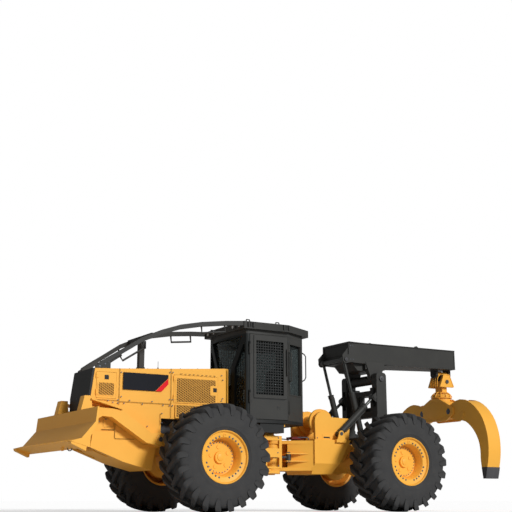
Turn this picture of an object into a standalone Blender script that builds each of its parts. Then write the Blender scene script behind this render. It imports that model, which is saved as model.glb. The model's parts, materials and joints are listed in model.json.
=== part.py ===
"""Articulated grapple skidder, in metres: +X forward, +Y the machine's left, +Z up.

Positions are written from the middle of the wheelbase, and one root empty
moves the whole machine so that its box is centred on the origin.
"""

import math

import bmesh
import bpy
from mathutils import Vector

# Whole machine
SHIFT_X = -0.135
GAP = 0.0003

# Wheels
AXLE_X = 2.0
TRACK_Y = 1.215
AXLE_Z = 0.925
TYRE_R = 0.925
TYRE_HALF = 0.3875
RIM_R = 0.433
LUGS = 22
LUG_DEPTH = 0.068

# Hitch
HITCH_X = 0.12
HITCH_PIN_R = 0.07
RAIL_IN = 0.165
RAIL_OUT = 0.235
STEER_BASE = (1.05, 0.36, 1.005)
STEER_EYE = (-0.04, 0.36, 1.005)

# Hood and cab
HOOD_HALF = 0.45
HOOD_FLOOR = 1.3603
CAB_FLOOR = 1.60
FLOOR_DEEP = 0.06
CEILING = 3.242
CAB_TOP = 3.32
DOOR_REAR = 0.188
DOOR_FRONT = 1.022
CAB_WALL = 0.05
ROOF_TOP = 3.455

# Blade
ARM_PIVOT = (2.78, 0.0, 1.24)
ARM_IN = 0.47
ARM_OUT = 0.66
BLADE_HALF = 1.47
LIFT_BASE = (3.75, 0.30, 2.05)
LIFT_EYE = (4.13, 0.30, 1.20)

# Arch, boom and grapple
ARCH_PIVOT = (-2.0, 0.0, 1.22)
ARCH_BASE = (-1.12, 0.52, 1.47)
ARCH_EYE = (-1.965, 0.52, 2.22)
BOOM_PIVOT = (-2.13, 0.0, 2.60)
BOOM_BASE = (-1.80, 0.36, 1.38)
BOOM_EYE = (-1.38, 0.36, 2.96)
HANG_X = -4.225
SIDE_Z = 2.86
FORE_Z = 2.70
TONG_PIVOT = (HANG_X, 0.42, 2.04)
TONG_EYE = (HANG_X, 0.82, 1.95)
TONG_GAP = 0.1105
TONG_HALF = 0.165
DRUM = (-0.90, 0.0, 1.72)

# Each moving body: the point its origin stands on, and the body that carries it
BODIES = {
    "chassis": ((0.0, 0.0, 0.0), None),
    "blade": (ARM_PIVOT, "chassis"),
    "lift_barrels": (LIFT_BASE, "chassis"),
    "lift_rods": (LIFT_EYE, "lift_barrels"),
    "rear": ((HITCH_X, 0.0, 1.0), "chassis"),
    "drum": (DRUM, "rear"),
    "arch": (ARCH_PIVOT, "rear"),
    "arch_barrels": ((ARCH_BASE[0], 0.0, ARCH_BASE[2]), "rear"),
    "arch_rods": ((ARCH_EYE[0], 0.0, ARCH_EYE[2]), "arch_barrels"),
    "boom": (BOOM_PIVOT, "arch"),
    "boom_barrels": ((BOOM_BASE[0], 0.0, BOOM_BASE[2]), "arch"),
    "boom_rods": ((BOOM_EYE[0], 0.0, BOOM_EYE[2]), "boom_barrels"),
    "crosshead": ((HANG_X, 0.0, SIDE_Z), "boom"),
    "link": ((HANG_X, 0.0, FORE_Z), "crosshead"),
    "grapple": ((HANG_X, 0.0, 2.34), "link"),
    "tong_left": (TONG_PIVOT, "grapple"),
    "tong_right": ((HANG_X, -TONG_PIVOT[1], TONG_PIVOT[2]), "grapple"),
    "tong_barrel": (TONG_EYE, "tong_left"),
    "tong_rod": ((HANG_X, -TONG_EYE[1], TONG_EYE[2]), "tong_barrel"),
}
for side_name, side_y in (("left", 1.0), ("right", -1.0)):
    BODIES["front_wheel_" + side_name] = ((AXLE_X, side_y * TRACK_Y, AXLE_Z), "chassis")
    BODIES["rear_wheel_" + side_name] = ((-AXLE_X, side_y * TRACK_Y, AXLE_Z), "rear")
    BODIES["cab_door_" + side_name] = ((1.03, side_y * 0.745, 2.4), "chassis")
    BODIES["front_hood_door_" + side_name] = ((3.925, side_y * 0.462, 2.15), "chassis")
    BODIES["rear_hood_door_" + side_name] = ((2.445, side_y * 0.462, 2.15), "chassis")
    BODIES["steer_barrel_" + side_name] = (
        (STEER_BASE[0], side_y * STEER_BASE[1], STEER_BASE[2]),
        "chassis",
    )
    BODIES["steer_rod_" + side_name] = (
        (STEER_EYE[0], side_y * STEER_EYE[1], STEER_EYE[2]),
        "steer_barrel_" + side_name,
    )

# finish: red, green, blue, roughness, metallic
FINISHES = {
    "yellow": (0.93, 0.47, 0.06, 0.45, 0.0),
    "dark": (0.07, 0.07, 0.068, 0.55, 0.0),
    "black": (0.028, 0.03, 0.03, 0.6, 0.0),
    "rubber": (0.06, 0.06, 0.06, 0.85, 0.0),
    "steel": (0.45, 0.45, 0.46, 0.3, 1.0),
    "iron": (0.16, 0.16, 0.17, 0.6, 0.4),
    "glass": (0.10, 0.15, 0.16, 0.08, 0.0),
    "vinyl": (0.04, 0.04, 0.045, 0.7, 0.0),
}

empties = {}


# Shapes are pairs of points and faces, each a closed shell


def loft(rings):
    """A closed shell through rings of the same number of points, capped at both ends."""
    count = len(rings[0])
    points = [Vector(p) for ring in rings for p in ring]
    faces = [tuple(range(count))]
    last = (len(rings) - 1) * count
    faces.append(tuple(last + i for i in range(count)))
    for r in range(len(rings) - 1):
        a, b = r * count, (r + 1) * count
        for i in range(count):
            j = (i + 1) % count
            faces.append((a + i, a + j, b + j, b + i))
    return points, faces


def prism(along, outline, low, high):
    """An outline in the plane of the other two axes, in X, Y, Z order, drawn along one axis."""
    if along == "X":
        rings = [[(at, u, v) for u, v in outline] for at in (low, high)]
    elif along == "Y":
        rings = [[(u, at, v) for u, v in outline] for at in (low, high)]
    else:
        rings = [[(u, v, at) for u, v in outline] for at in (low, high)]
    return loft(rings)


def box(low, high):
    outline = [(low[0], low[1]), (high[0], low[1]), (high[0], high[1]), (low[0], high[1])]
    return prism("Z", outline, low[2], high[2])


def across(direction):
    """Two unit vectors square to a direction and to each other."""
    along = Vector(direction).normalized()
    helper = Vector((0, 0, 1)) if abs(along.z) < 0.9 else Vector((1, 0, 0))
    first = along.cross(helper).normalized()
    return first, along.cross(first).normalized()


def facets_for(radius):
    """Sides of a round piece, by its size."""
    for most, facets in ((0.02, 8), (0.05, 12), (0.13, 16), (0.26, 24)):
        if radius < most:
            return facets
    return 32


def bore_of(pin_radius):
    """Radius of a hole whose flats clear a turning pin's corners."""
    return pin_radius / math.cos(math.pi / facets_for(pin_radius)) + 0.0004


def ring(centre, direction, radius, facets, turn=0.0):
    first, second = across(direction)
    centre = Vector(centre)
    found = []
    for i in range(facets):
        angle = 2 * math.pi * (i + turn) / facets
        found.append(centre + radius * (first * math.cos(angle) + second * math.sin(angle)))
    return found


def cylinder(start, end, radius, facets=None):
    direction = Vector(end) - Vector(start)
    count = facets or facets_for(radius)
    return loft([ring(start, direction, radius, count), ring(end, direction, radius, count)])


def stub(along, centre, radius, half, facets=None):
    """A cylinder centred on a point, along X, Y or Z."""
    step = Vector([half if axis == along else 0.0 for axis in "XYZ"])
    return cylinder(Vector(centre) - step, Vector(centre) + step, radius, facets)


def bore(along, centre, pin_radius, half):
    """A hole for a pin of that radius, with the same sides."""
    return stub(along, centre, bore_of(pin_radius), half, facets_for(pin_radius))


def turned(centre, direction, profile, facets=24):
    """Rings about an axis from a table of (distance along it, radius)."""
    direction = Vector(direction).normalized()
    centre = Vector(centre)
    return loft([ring(centre + direction * at, direction, r, facets) for at, r in profile])


def bar(path, radius, facets=8):
    """A round bar through the points of a path."""
    path = [Vector(p) for p in path]
    rings = []
    first = None
    for i, point in enumerate(path):
        before = path[max(i - 1, 0)]
        after = path[min(i + 1, len(path) - 1)]
        along = (after - before).normalized()
        if first is None:
            first, _ = across(along)
        first = (first - along * first.dot(along)).normalized()
        second = along.cross(first)
        found = []
        for k in range(facets):
            angle = 2 * math.pi * (k + 0.5) / facets
            found.append(point + radius * (first * math.cos(angle) + second * math.sin(angle)))
        rings.append(found)
    return loft(rings)


def arc(centre, radius, start_deg, end_deg, steps):
    """Points on an arc in a flat outline, from one angle to another."""
    found = []
    for i in range(steps + 1):
        angle = math.radians(start_deg + (end_deg - start_deg) * i / steps)
        found.append((centre[0] + radius * math.cos(angle), centre[1] + radius * math.sin(angle)))
    return found


def curve(points, steps):
    """A smooth flat curve through its points, each span in so many steps."""
    found = []
    for i in range(len(points) - 1):
        before, start, end = points[max(i - 1, 0)], points[i], points[i + 1]
        after = points[min(i + 2, len(points) - 1)]
        for k in range(steps):
            t = k / steps
            spot = []
            for a, b, c, d in zip(before, start, end, after):
                spot.append(b + t * ((c - a) + t * ((2 * a - 5 * b + 4 * c - d) + t * (3 * b - a - 3 * c + d))) / 2)
            found.append(tuple(spot))
    return found + [tuple(points[-1])]


def mirrored(shapes):
    """The shapes and their mirror images across the machine's middle."""
    found = list(shapes)
    for points, faces in shapes:
        found.append(([Vector((p[0], -p[1], p[2])) for p in points], faces))
    return found


def sided(shapes, side):
    """The shapes as drawn for the left, or their mirror image for the right."""
    return [([Vector((p[0], side * p[1], p[2])) for p in points], faces) for points, faces in shapes]


# Objects


def mesh_of(name, shapes, origin):
    """One mesh that holds every shape, each facing out."""
    joined = bmesh.new()
    for points, faces in shapes:
        part = bmesh.new()
        corners = [part.verts.new(Vector(p) - origin) for p in points]
        for face in faces:
            part.faces.new([corners[i] for i in face])
        bmesh.ops.recalc_face_normals(part, faces=part.faces)
        held = bpy.data.meshes.new("part")
        part.to_mesh(held)
        part.free()
        joined.from_mesh(held)
        bpy.data.meshes.remove(held)
    mesh = bpy.data.meshes.new(name)
    joined.to_mesh(mesh)
    joined.free()
    return mesh


def add_boolean(target, tool, operation):
    modifier = target.modifiers.new(operation.title(), "BOOLEAN")
    modifier.object = tool
    modifier.operation = operation
    modifier.solver = "EXACT"
    modifier.use_self = True


def finish_of(name, finish):
    material = bpy.data.materials.new(name)
    material.use_nodes = True
    red, green, blue, roughness, metallic = FINISHES[finish]
    shader = material.node_tree.nodes["Principled BSDF"]
    shader.inputs["Base Color"].default_value = (red, green, blue, 1.0)
    shader.inputs["Roughness"].default_value = roughness
    shader.inputs["Metallic"].default_value = metallic
    return material


def solid(name, body, finish, shapes, holes=(), smooth=True):
    """One closed node: the union of the shapes, less the holes, on a body's origin."""
    origin = Vector(BODIES[body][0])
    node = bpy.data.objects.new(name, mesh_of(name, shapes[:1], origin))
    bpy.context.scene.collection.objects.link(node)
    tools = []
    for found, operation in ((shapes[1:], "UNION"), (holes, "DIFFERENCE")):
        if found:
            tool = bpy.data.objects.new("tool", mesh_of("tool", found, origin))
            bpy.context.scene.collection.objects.link(tool)
            add_boolean(node, tool, operation)
            tools.append(tool)
    if tools:
        bpy.context.view_layer.update()
        graph = bpy.context.evaluated_depsgraph_get()
        made = bpy.data.meshes.new_from_object(node.evaluated_get(graph))
        node.modifiers.clear()
        node.data = made
        for tool in tools:
            bpy.data.objects.remove(tool)
    clean = bmesh.new()
    clean.from_mesh(node.data)
    bmesh.ops.dissolve_limit(clean, angle_limit=math.radians(0.2), verts=clean.verts, edges=clean.edges)
    bmesh.ops.triangulate(clean, faces=clean.faces)
    clean.to_mesh(node.data)
    clean.free()
    node.data.name = name
    if smooth:
        node.data.shade_smooth()
        node.data.set_sharp_from_angle(angle=math.radians(32))
    node.data.materials.clear()
    node.data.materials.append(finish_of(name, finish))
    node.parent = empties[body]
    return node


def lay_out_bodies():
    """An empty on each body's joint, under the empty that carries it."""
    root = bpy.data.objects.new("skidder", None)
    root.location = (SHIFT_X, 0.0, TYRE_R - AXLE_Z)
    bpy.context.scene.collection.objects.link(root)
    for name, (point, parent) in BODIES.items():
        empty = bpy.data.objects.new("at_" + name, None)
        bpy.context.scene.collection.objects.link(empty)
        if parent is None:
            empty.parent = root
            empty.location = point
        else:
            empty.parent = empties[parent]
            empty.location = Vector(point) - Vector(BODIES[parent][0])
        empties[name] = empty


# Front half


def front_frame():
    nose = [(3.95, 1.36), (3.99, 1.085), (3.376, 0.853), (2.846, 0.716), (2.811, 0.907),
            (2.76, 1.12), (2.73, 1.36)]
    front_room = [(3.92, 1.40), (3.94, 1.12), (3.56, 0.973), (3.56, 1.40)]
    rear_room = [(3.40, 1.40), (3.40, 0.912), (2.90, 0.77), (2.86, 0.92), (2.81, 1.12), (2.79, 1.40)]
    rail = [(2.86, 1.36), (2.82, 1.00), (2.48, 1.18), (1.52, 1.18), (1.2, 0.91), (0.45, 0.79),
            (0.45, 1.385), (1.2, 1.385), (1.22, 1.36)]
    cheek = [(0.22, 0.79), (0.60, 0.79), (0.60, 1.385), (0.22, 1.385)]
    lift_tower = [(3.41, 1.20), (3.41, 1.60), (3.69, 2.09)]
    lift_tower += arc((LIFT_BASE[0], LIFT_BASE[2]), 0.055, 120, -30, 6) + [(3.58, 1.60), (3.55, 1.20)]
    lug = [(0.62, -0.50), (0.62, 0.50), (0.24, 0.50)] + arc((HITCH_X, 0), 0.17, 70, 290, 8)
    lug += [(0.24, -0.50)]
    shapes = [prism("Y", nose, -0.46, 0.46)]
    shapes += mirrored([
        prism("Y", rail, RAIL_IN, RAIL_OUT),
        prism("Y", cheek, 0.50, 0.55),
        box((0.92, RAIL_OUT - 0.01, 1.075), (1.12, 0.46, 1.095)),
        box((0.92, RAIL_OUT - 0.01, 0.915), (1.12, 0.46, 0.935)),
        stub("Z", STEER_BASE, 0.03, 0.089),
        box((2.70, 0.44, 1.10), (2.92, ARM_IN - GAP, 1.36)),
        stub("Y", (ARM_PIVOT[0], 0.55, ARM_PIVOT[2]), 0.045, 0.13),
        box((0.30, 0.15, 1.37), (0.50, 0.40, CAB_FLOOR - GAP)),
        box((0.90, 0.15, 1.37), (1.08, 0.28, CAB_FLOOR - GAP)),
        prism("Y", lift_tower, 0.225, 0.245),
        prism("Y", lift_tower, 0.355, 0.375),
        stub("Y", LIFT_BASE, LIFT_SIZE["pin_r"], 0.07),
    ])
    shapes += [
        prism("Z", lug, 1.335, 1.385),
        prism("Z", lug, 0.70, 0.75),
        box((0.45, -0.52, 0.74), (0.60, 0.52, 0.80)),
        box((0.45, -0.24, 0.72), (0.52, 0.24, 1.36)),
        box((0.55, -0.24, 1.31), (2.80, 0.24, 1.36)),
        box((2.60, -0.24, 0.98), (2.84, 0.24, 1.34)),
        stub("Z", (HITCH_X, 0, 1.042), HITCH_PIN_R, 0.36),
        stub("Z", (HITCH_X, 0, 1.395), 0.10, 0.015),
    ]
    holes = [prism("Y", front_room, -0.43, 0.43), prism("Y", rear_room, -0.43, 0.43)]
    holes += [box((3.86, -0.42, 0.9), (4.1, 0.42, 1.5))]
    holes += mirrored([box((3.60, 0.248, 0.7), (3.99, 0.352, 1.19))])
    holes += mirrored([
        box((0.28, 0.48, 1.155), (0.54, 0.57, 1.30)),
        box((0.28, 0.48, 0.82), (0.54, 0.57, 0.99)),
    ])
    solid("front_frame", "chassis", "yellow", shapes, holes)


def axle(name, body, x, forward):
    """A beam with a gear bowl, a saddle on top and a hub housing at each end."""
    bowl = [(-0.30, 0.10), (-0.20, 0.23), (-0.05, 0.295), (0.08, 0.30), (0.22, 0.25),
            (0.36, 0.15), (0.50, 0.11)]
    hub = [(0.60, 0.17), (0.80, 0.20), (0.86, 0.31), (1.04, 0.31), (1.12, 0.25),
           (TRACK_Y + 0.10 - GAP, 0.25)]
    beam = [(0.20, 0.20), (0.62, 0.17)]
    shapes = [turned((x, 0, AXLE_Z), (forward, 0, 0), bowl)]
    for side in (1, -1):
        shapes.append(turned((x, 0, AXLE_Z), (0, side, 0), beam))
        shapes.append(turned((x, 0, AXLE_Z), (0, side, 0), hub))
        low, high = sorted((side * (RAIL_IN - 0.01), side * (RAIL_OUT + 0.01)))
        shapes.append(box((x - 0.13, low, 0.98), (x + 0.13, high, 1.18 - GAP)))
    solid(name, body, "yellow", shapes)


def hood_outline(inset, floor):
    top = [(3.95 - inset, 2.43), (3.5, 2.45), (2.5, 2.51), (1.28 + inset, 2.59)]
    front = [(4.01 - inset, floor), (4.01 - inset, 1.97)]
    return front + [(x, z - inset) for x, z in top] + [(1.28 + inset, floor)]


def hood():
    shapes = [prism("Y", hood_outline(0.0, HOOD_FLOOR), -HOOD_HALF, HOOD_HALF)]
    for x, z0, z1 in ((3.925, 1.924, 2.371), (2.445, 1.904, 2.406)):
        for z in (z0 + 0.08, z1 - 0.08):
            shapes += mirrored(knuckle(x, 0.462, z + 0.03 + GAP, 0.44, 0.03))
    holes = [prism("Y", hood_outline(0.03, HOOD_FLOOR - 0.1), 0.03 - HOOD_HALF, HOOD_HALF - 0.03)]
    holes += mirrored([
        box((3.55, 0.40, 1.92), (3.92, 0.50, 2.375)),
        box((1.54, 0.40, 1.90), (2.44, 0.50, 2.41)),
        prism("Z", [(1.41, 0.47), (1.27, 0.36), (1.27, 0.47)], 1.30, 2.70),
        prism("Z", [(2.68, 0.40), (2.68, 0.50), (1.2, 0.50), (1.2, 0.40)], 1.20, 1.62),
        box((3.90, 0.22, 1.30), (4.1, 0.38, 1.72)),
        *[box((1.60, 0.40, z), (2.39, 0.50, z + 0.04)) for z in (1.67, 1.74, 1.81)],
    ])
    solid("hood", "chassis", "yellow", shapes, holes)


def radiator_guard():
    plate = [(4.01 + GAP, 1.37), (4.01 + GAP, 1.97), (3.95 + GAP, 2.43), (3.99, 2.43), (4.05, 1.97),
             (4.05, 1.37)]
    shapes = [prism("Y", plate, -0.445, 0.445)]
    holes = [box((3.90, -0.17, 1.42 + 0.11 * i), (4.1, 0.17, 1.49 + 0.11 * i)) for i in range(3)]
    holes += mirrored([box((3.90, 0.22, 1.30), (4.1, 0.38, 1.72))])
    solid("radiator_guard", "chassis", "black", shapes, holes)


def engine():
    shapes = [box((1.75, -0.33, 1.60), (3.30, 0.33, 2.20)),
              box((1.85, -0.18, HOOD_FLOOR), (3.10, 0.18, 1.65))]
    solid("engine_block", "chassis", "iron", shapes)


# x of a riser, height of its top edge
RISER = [(1.1803, 3.455), (1.53, 3.43), (2.0, 3.377), (2.4, 3.30), (2.75, 3.185), (3.1, 3.03),
         (3.47, 2.79), (3.74, 2.62), (3.88, 2.525)]


def riser_y(x):
    return 0.74 - (x - 1.18) * (0.74 - 0.40) / (3.88 - 1.18)


def limb_risers():
    rings = []
    for x, z in RISER:
        y = riser_y(x)
        depth = 0.085
        rings.append([(x, y - 0.03, z - depth), (x, y + 0.03, z - depth), (x, y + 0.03, z), (x, y - 0.03, z)])
    foot = [(3.93, 2.4312), (3.93, 2.47), (3.60, 2.70), (3.55, 2.62), (3.66, 2.56), (3.66, 2.4432)]
    shapes = mirrored([loft(rings), prism("Y", foot, 0.385, 0.435)])
    shapes += [
        box((2.86, -0.53, 3.05), (2.94, 0.53, 3.12)),
        box((2.85, -0.05, 2.4893), (2.95, 0.05, 3.07)),
    ]
    loops = (
        # x start, x end, drop
        (1.55, 2.00, 0.15),
        (3.15, 3.52, 0.14),
    )
    for x0, x1, drop in loops:
        start = Vector((x0, riser_y(x0), riser_top(x0) - 0.05))
        end = Vector((x1, riser_y(x1), riser_top(x1) - 0.05))
        hang = Vector(((end.z - start.z), 0.0, -(end.x - start.x))).normalized() * drop
        path = [start, start + hang, end + hang, end]
        shapes += mirrored([bar(path, 0.013)])
    solid("limb_risers", "chassis", "dark", shapes)


def riser_top(x):
    for (x0, z0), (x1, z1) in zip(RISER, RISER[1:]):
        if x0 <= x <= x1:
            return z0 + (z1 - z0) * (x - x0) / (x1 - x0)
    return RISER[-1][1]


def cab_plan(inset):
    half = [(1.15 - inset, 0.31), (1.09 - inset, 0.70 - inset), (1.05 - inset, 0.72 - inset),
            (0.19 + inset * 0.3, 0.72 - inset), (-0.35 + inset, 0.41 - inset * 0.4)]
    return half + [(x, -y) for x, y in reversed(half)]


def cab_floor():
    """The floor plate and the two boxes that hang under it."""
    shapes = [prism("Z", cab_plan(0.0), CAB_FLOOR, CAB_FLOOR + FLOOR_DEEP)]
    shapes += mirrored([box((0.26, 0.42, 1.43), (0.78, 0.69, CAB_FLOOR + 0.02))])
    solid("cab_floor", "chassis", "dark", shapes)


def cab_walls():
    """The front wall with its posts, and the rear wall with its slanted quarters."""
    low, high = CAB_FLOOR + FLOOR_DEEP + GAP, CEILING - GAP
    inside = prism("Z", cab_plan(CAB_WALL), low - 0.1, high + 0.1)
    side_pane = [(0.36, 1.72), (0.36, 2.62), (0.62, 3.05), (0.66, 3.05), (0.66, 1.72)]
    top_pane = [(-0.26, 2.66), (-0.58, 3.20), (0.58, 3.20), (0.26, 2.66)]
    shapes = [prism("Z", cab_plan(0.0), low, high)]
    shapes += mirrored([*knuckle(1.03, 0.745, 2.14 + GAP, 0.70), *knuckle(1.03, 0.745, 3.04 + GAP, 0.70)])
    holes = [
        inside,
        box((-0.5, -0.9, low - 0.1), (DOOR_FRONT, 0.9, high + 0.1)),
        prism("X", top_pane, 0.9, 1.3),
        prism("X", [(-0.26, 1.72), (-0.26, 2.67), (0.26, 2.67), (0.26, 1.72)], 0.9, 1.3),
    ]
    holes += mirrored([prism("X", side_pane, 0.9, 1.3)])
    solid("cab_front_wall", "chassis", "dark", shapes, holes)
    shapes = [prism("Z", cab_plan(0.0), low, high)]
    shapes += mirrored([
        bar([(0.15, 0.665, 2.95), (0.13, 0.76, 2.93), (0.13, 0.76, 2.40), (0.15, 0.665, 2.38)], 0.014),
    ])
    holes = [
        inside,
        box((DOOR_REAR, -0.9, low - 0.1), (1.3, 0.9, high + 0.1)),
        prism("X", [(-0.33, 2.16), (-0.33, 3.11), (0.33, 3.11), (0.33, 2.16)], -0.5, -0.2),
    ]
    holes += mirrored([quarter_window(2.16, 3.11)])
    solid("cab_rear_wall", "chassis", "dark", shapes, holes)


def knuckle(x, y, z, carrier_y, height=0.05):
    """A fixed knuckle on a hinge axis whose lower face is at z, and the tab that carries it."""
    r = 0.018 if y > 0.6 else 0.010
    return [stub("Z", (x, y, z + height / 2), r, height / 2, 12),
            box((x - r * 0.4, carrier_y, z), (x + r, y, z + height))]


def on_quarter(along, out):
    """A point in plan on the cab's slanted rear quarter: metres along from its front edge, and outward."""
    start = Vector((0.19, 0.72))
    run = (Vector((-0.35, 0.41)) - start).normalized()
    square = Vector((run.y, -run.x))
    if square.y < 0:
        square = -square
    point = start + run * along + square * out
    return point.x, point.y


def quarter_window(low, high):
    outline = [on_quarter(0.09, -0.12), on_quarter(0.54, -0.12), on_quarter(0.54, 0.1), on_quarter(0.09, 0.1)]
    return prism("Z", outline, low, high)


def cab_glass():
    """Two bent sheets, one behind the front posts and one behind the rear wall."""
    plan = [(1.10 - GAP, -0.309), (1.10 - GAP, 0.309), (1.0405, 0.641), (1.0345, 0.64), (1.093, 0.305),
            (1.093, -0.305), (1.0345, -0.64), (1.0405, -0.641)]
    solid("front_glass", "chassis", "glass", [prism("Z", plan, 1.68, 3.23)])
    a, b = on_quarter(0.06, -0.053), on_quarter(0.585, -0.053)
    c, d = on_quarter(0.06, -0.059), on_quarter(0.585, -0.059)
    plan = [a, b, (-0.2997, b[1]), (-0.2997, -b[1]), (b[0], -b[1]), (a[0], -a[1]),
            (c[0], -c[1]), (d[0], -d[1]), (-0.2937, -d[1]), (-0.2937, d[1]), d, c]
    solid("rear_glass", "chassis", "glass", [prism("Z", plan, 2.12, 3.15)])


def roof():
    plan = [(1.18, 0.79), (0.21, 0.80), (-0.49, 0.42), (-0.49, -0.42), (0.21, -0.80), (1.18, -0.79)]
    shapes = [prism("Z", plan, CAB_TOP, ROOF_TOP), prism("Z", cab_plan(0.0), CEILING, CAB_TOP + 0.01)]
    for x in (0.40, 1.05):
        shapes += mirrored([bar([(x - 0.05, 0.70, 3.44), (x - 0.03, 0.70, 3.50), (x + 0.03, 0.70, 3.50),
                                 (x + 0.05, 0.70, 3.44)], 0.012)])
    solid("roof", "chassis", "dark", shapes)


def cab_doors():
    for side_name, side in (("left", 1), ("right", -1)):
        body = "cab_door_" + side_name
        shapes = [
            box((0.194, 0.676, 1.668), (1.016, 0.724, 3.236)),
            stub("Z", (1.03, 0.745, 2.05), 0.018, 0.09, 12),
            stub("Z", (1.03, 0.745, 2.95), 0.018, 0.09, 12),
            box((0.98, 0.7205, 1.99), (1.03, 0.735, 2.11)),
            box((0.98, 0.7205, 2.89), (1.03, 0.735, 3.01)),
            bar([(0.22, 0.70, 3.0), (0.22, 0.765, 2.98), (0.22, 0.765, 2.50), (0.22, 0.70, 2.48)], 0.012),
        ]
        holes = [box((0.25, 0.60, 2.07), (0.94, 0.80, 3.16))]
        solid("cab_door_" + side_name, body, "dark", sided(shapes, side), sided(holes, side))
        pane = [box((0.235, 0.6697, 2.055), (0.955, 0.6757, 3.175))]
        solid("door_glass_" + side_name, body, "glass", sided(pane, side))


def hood_doors():
    doors = (
        # name, rear edge, front edge, bottom, top, window rear, window front, window bottom, window top
        ("front_hood_door_", 3.554, 3.916, 1.924, 2.371, 3.60, 3.87, 1.98, 2.18),
        ("rear_hood_door_", 1.544, 2.436, 1.904, 2.406, 1.60, 2.39, 1.96, 2.34),
    )
    for name, x0, x1, z0, z1, wx0, wx1, wz0, wz1 in doors:
        for side_name, side in (("left", 1), ("right", -1)):
            hinge_x = BODIES[name + side_name][0][0]
            shapes = [box((x0, 0.424, z0), (x1, 0.455, z1))]
            for z in (z0 + 0.08, z1 - 0.08):
                shapes.append(stub("Z", (hinge_x, 0.462, z), 0.010, 0.03, 10))
                shapes.append(box((x1 - 0.03, 0.45, z - 0.02), (hinge_x, 0.466, z + 0.02)))
            count = 4 if x1 - x0 < 0.5 else 7
            rise = (wz1 - wz0) / count
            holes = [box((wx0, 0.40, wz0 + rise * i), (wx1, 0.47, wz0 + rise * (i + 0.55)))
                     for i in range(count)]
            solid(name + side_name, name + side_name, "yellow", sided(shapes, side), sided(holes, side))


def seat():
    shapes = [
        box((0.05, -0.20, CAB_FLOOR + FLOOR_DEEP + GAP), (0.40, 0.20, 1.95)),
        box((-0.02, -0.26, 1.93), (0.48, 0.26, 2.06)),
        prism("Y", [(-0.02, 2.0), (0.10, 2.0), (0.02, 2.72), (-0.08, 2.72)], -0.24, 0.24),
        box((0.05, -0.36, 2.20), (0.40, -0.28, 2.27)),
        box((0.05, 0.28, 2.20), (0.40, 0.36, 2.27)),
        box((0.0, -0.33, 2.02), (0.10, 0.33, 2.25)),
    ]
    solid("seat", "chassis", "vinyl", shapes)


def console():
    shapes = [
        prism("Y", [(1.02, CAB_FLOOR + FLOOR_DEEP + GAP), (1.02, 2.30), (0.92, 2.36), (0.86, 2.28),
                    (0.90, CAB_FLOOR + FLOOR_DEEP + GAP)], -0.22, 0.22),
        cylinder((0.92, 0, 2.28), (0.78, 0, 2.42), 0.03),
        cylinder((0.79, 0, 2.40), (0.765, 0, 2.43), 0.17),
    ]
    solid("console", "chassis", "vinyl", shapes)


# Blade


def blade():
    board = [(4.28, 1.68), (4.255, 1.68), (4.262, 1.42), (4.38, 1.20), (4.39, 1.03), (4.72, 1.12),
             (4.535, 1.17), (4.305, 1.44)]
    beam = [(4.20, 1.14), (4.42, 1.14), (4.36, 1.26), (4.28, 1.42), (4.20, 1.42)]
    arm = [(2.66, 1.16), (2.78, 1.12), (3.05, 1.18), (3.70, 1.59), (3.86, 1.60), (4.12, 1.46), (4.29, 1.44),
           (4.27, 1.62), (4.20, 1.93), (4.08, 1.93), (4.06, 1.75), (3.86, 1.74), (3.5, 1.72), (2.94, 1.34),
           (2.78, 1.36), (2.68, 1.32)]
    shelf = [(4.09, 1.885), (4.09, 1.865), (3.53, 1.72), (3.50, 1.73)]
    tip = [(4.44, 1.05), (4.45, 0.97), (4.70, 1.08), (4.71, 1.115)]
    lift_ear = [(4.26, 1.40)] + arc((LIFT_EYE[0], LIFT_EYE[2]), 0.05, 120, 240, 5) + [(4.26, 1.145)]
    shapes = [prism("Y", board, -BLADE_HALF, BLADE_HALF), prism("Y", beam, -0.62, 0.62)]
    shapes += mirrored([
        prism("Y", arm, ARM_IN, ARM_OUT),
        prism("Y", shelf, ARM_IN, 0.70),
        prism("Y", tip, BLADE_HALF - 0.14, BLADE_HALF - 0.005),
        prism("Y", lift_ear, 0.225, 0.245),
        prism("Y", lift_ear, 0.355, 0.375),
    ])
    holes = mirrored([
        bore("Y", (ARM_PIVOT[0], 0.55, ARM_PIVOT[2]), 0.045, 0.2),
        box((4.10, 0.246, 1.13), (4.27, 0.354, 1.50)),
    ])
    solid("blade", "blade", "yellow", shapes, holes)


def boom_cylinders():
    """Two barrels on one sleeve, and two rods on one cross shaft."""
    base, eye = Vector(BOOM_BASE), Vector(BOOM_EYE)
    along = (eye - base).normalized()
    size = BOOM_SIZE
    mouth = base + along * size["length"]
    barrels = [stub("Y", (base.x, 0, base.z), size["eye_r"], size["base_half"])]
    rods = [stub("Y", (eye.x, 0, eye.z), size["shaft_r"], size["eye_half"])]
    holes = [bore("Y", (base.x, 0, base.z), size["pin_r"], 0.66)]
    for side in (1, -1):
        flip = Vector((1, side, 1))
        bore_start = base + along * (size["eye_r"] + 0.03)
        barrels.append(cylinder((base + along * 0.02) * flip, mouth * flip, size["barrel_r"]))
        rods.append(cylinder((bore_start + along * size["back"]) * flip, (eye - along * 0.01) * flip, size["rod_r"]))
        rods.append(stub("Y", (eye.x, side * eye.y, eye.z), size["eye_r"], 0.04))
        holes.append(cylinder(bore_start * flip, (mouth + along * 0.1) * flip, size["rod_r"] + 0.001))
    solid("boom_barrels", "boom_barrels", "dark", barrels, holes)
    solid("boom_rods", "boom_rods", "steel", rods)


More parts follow.
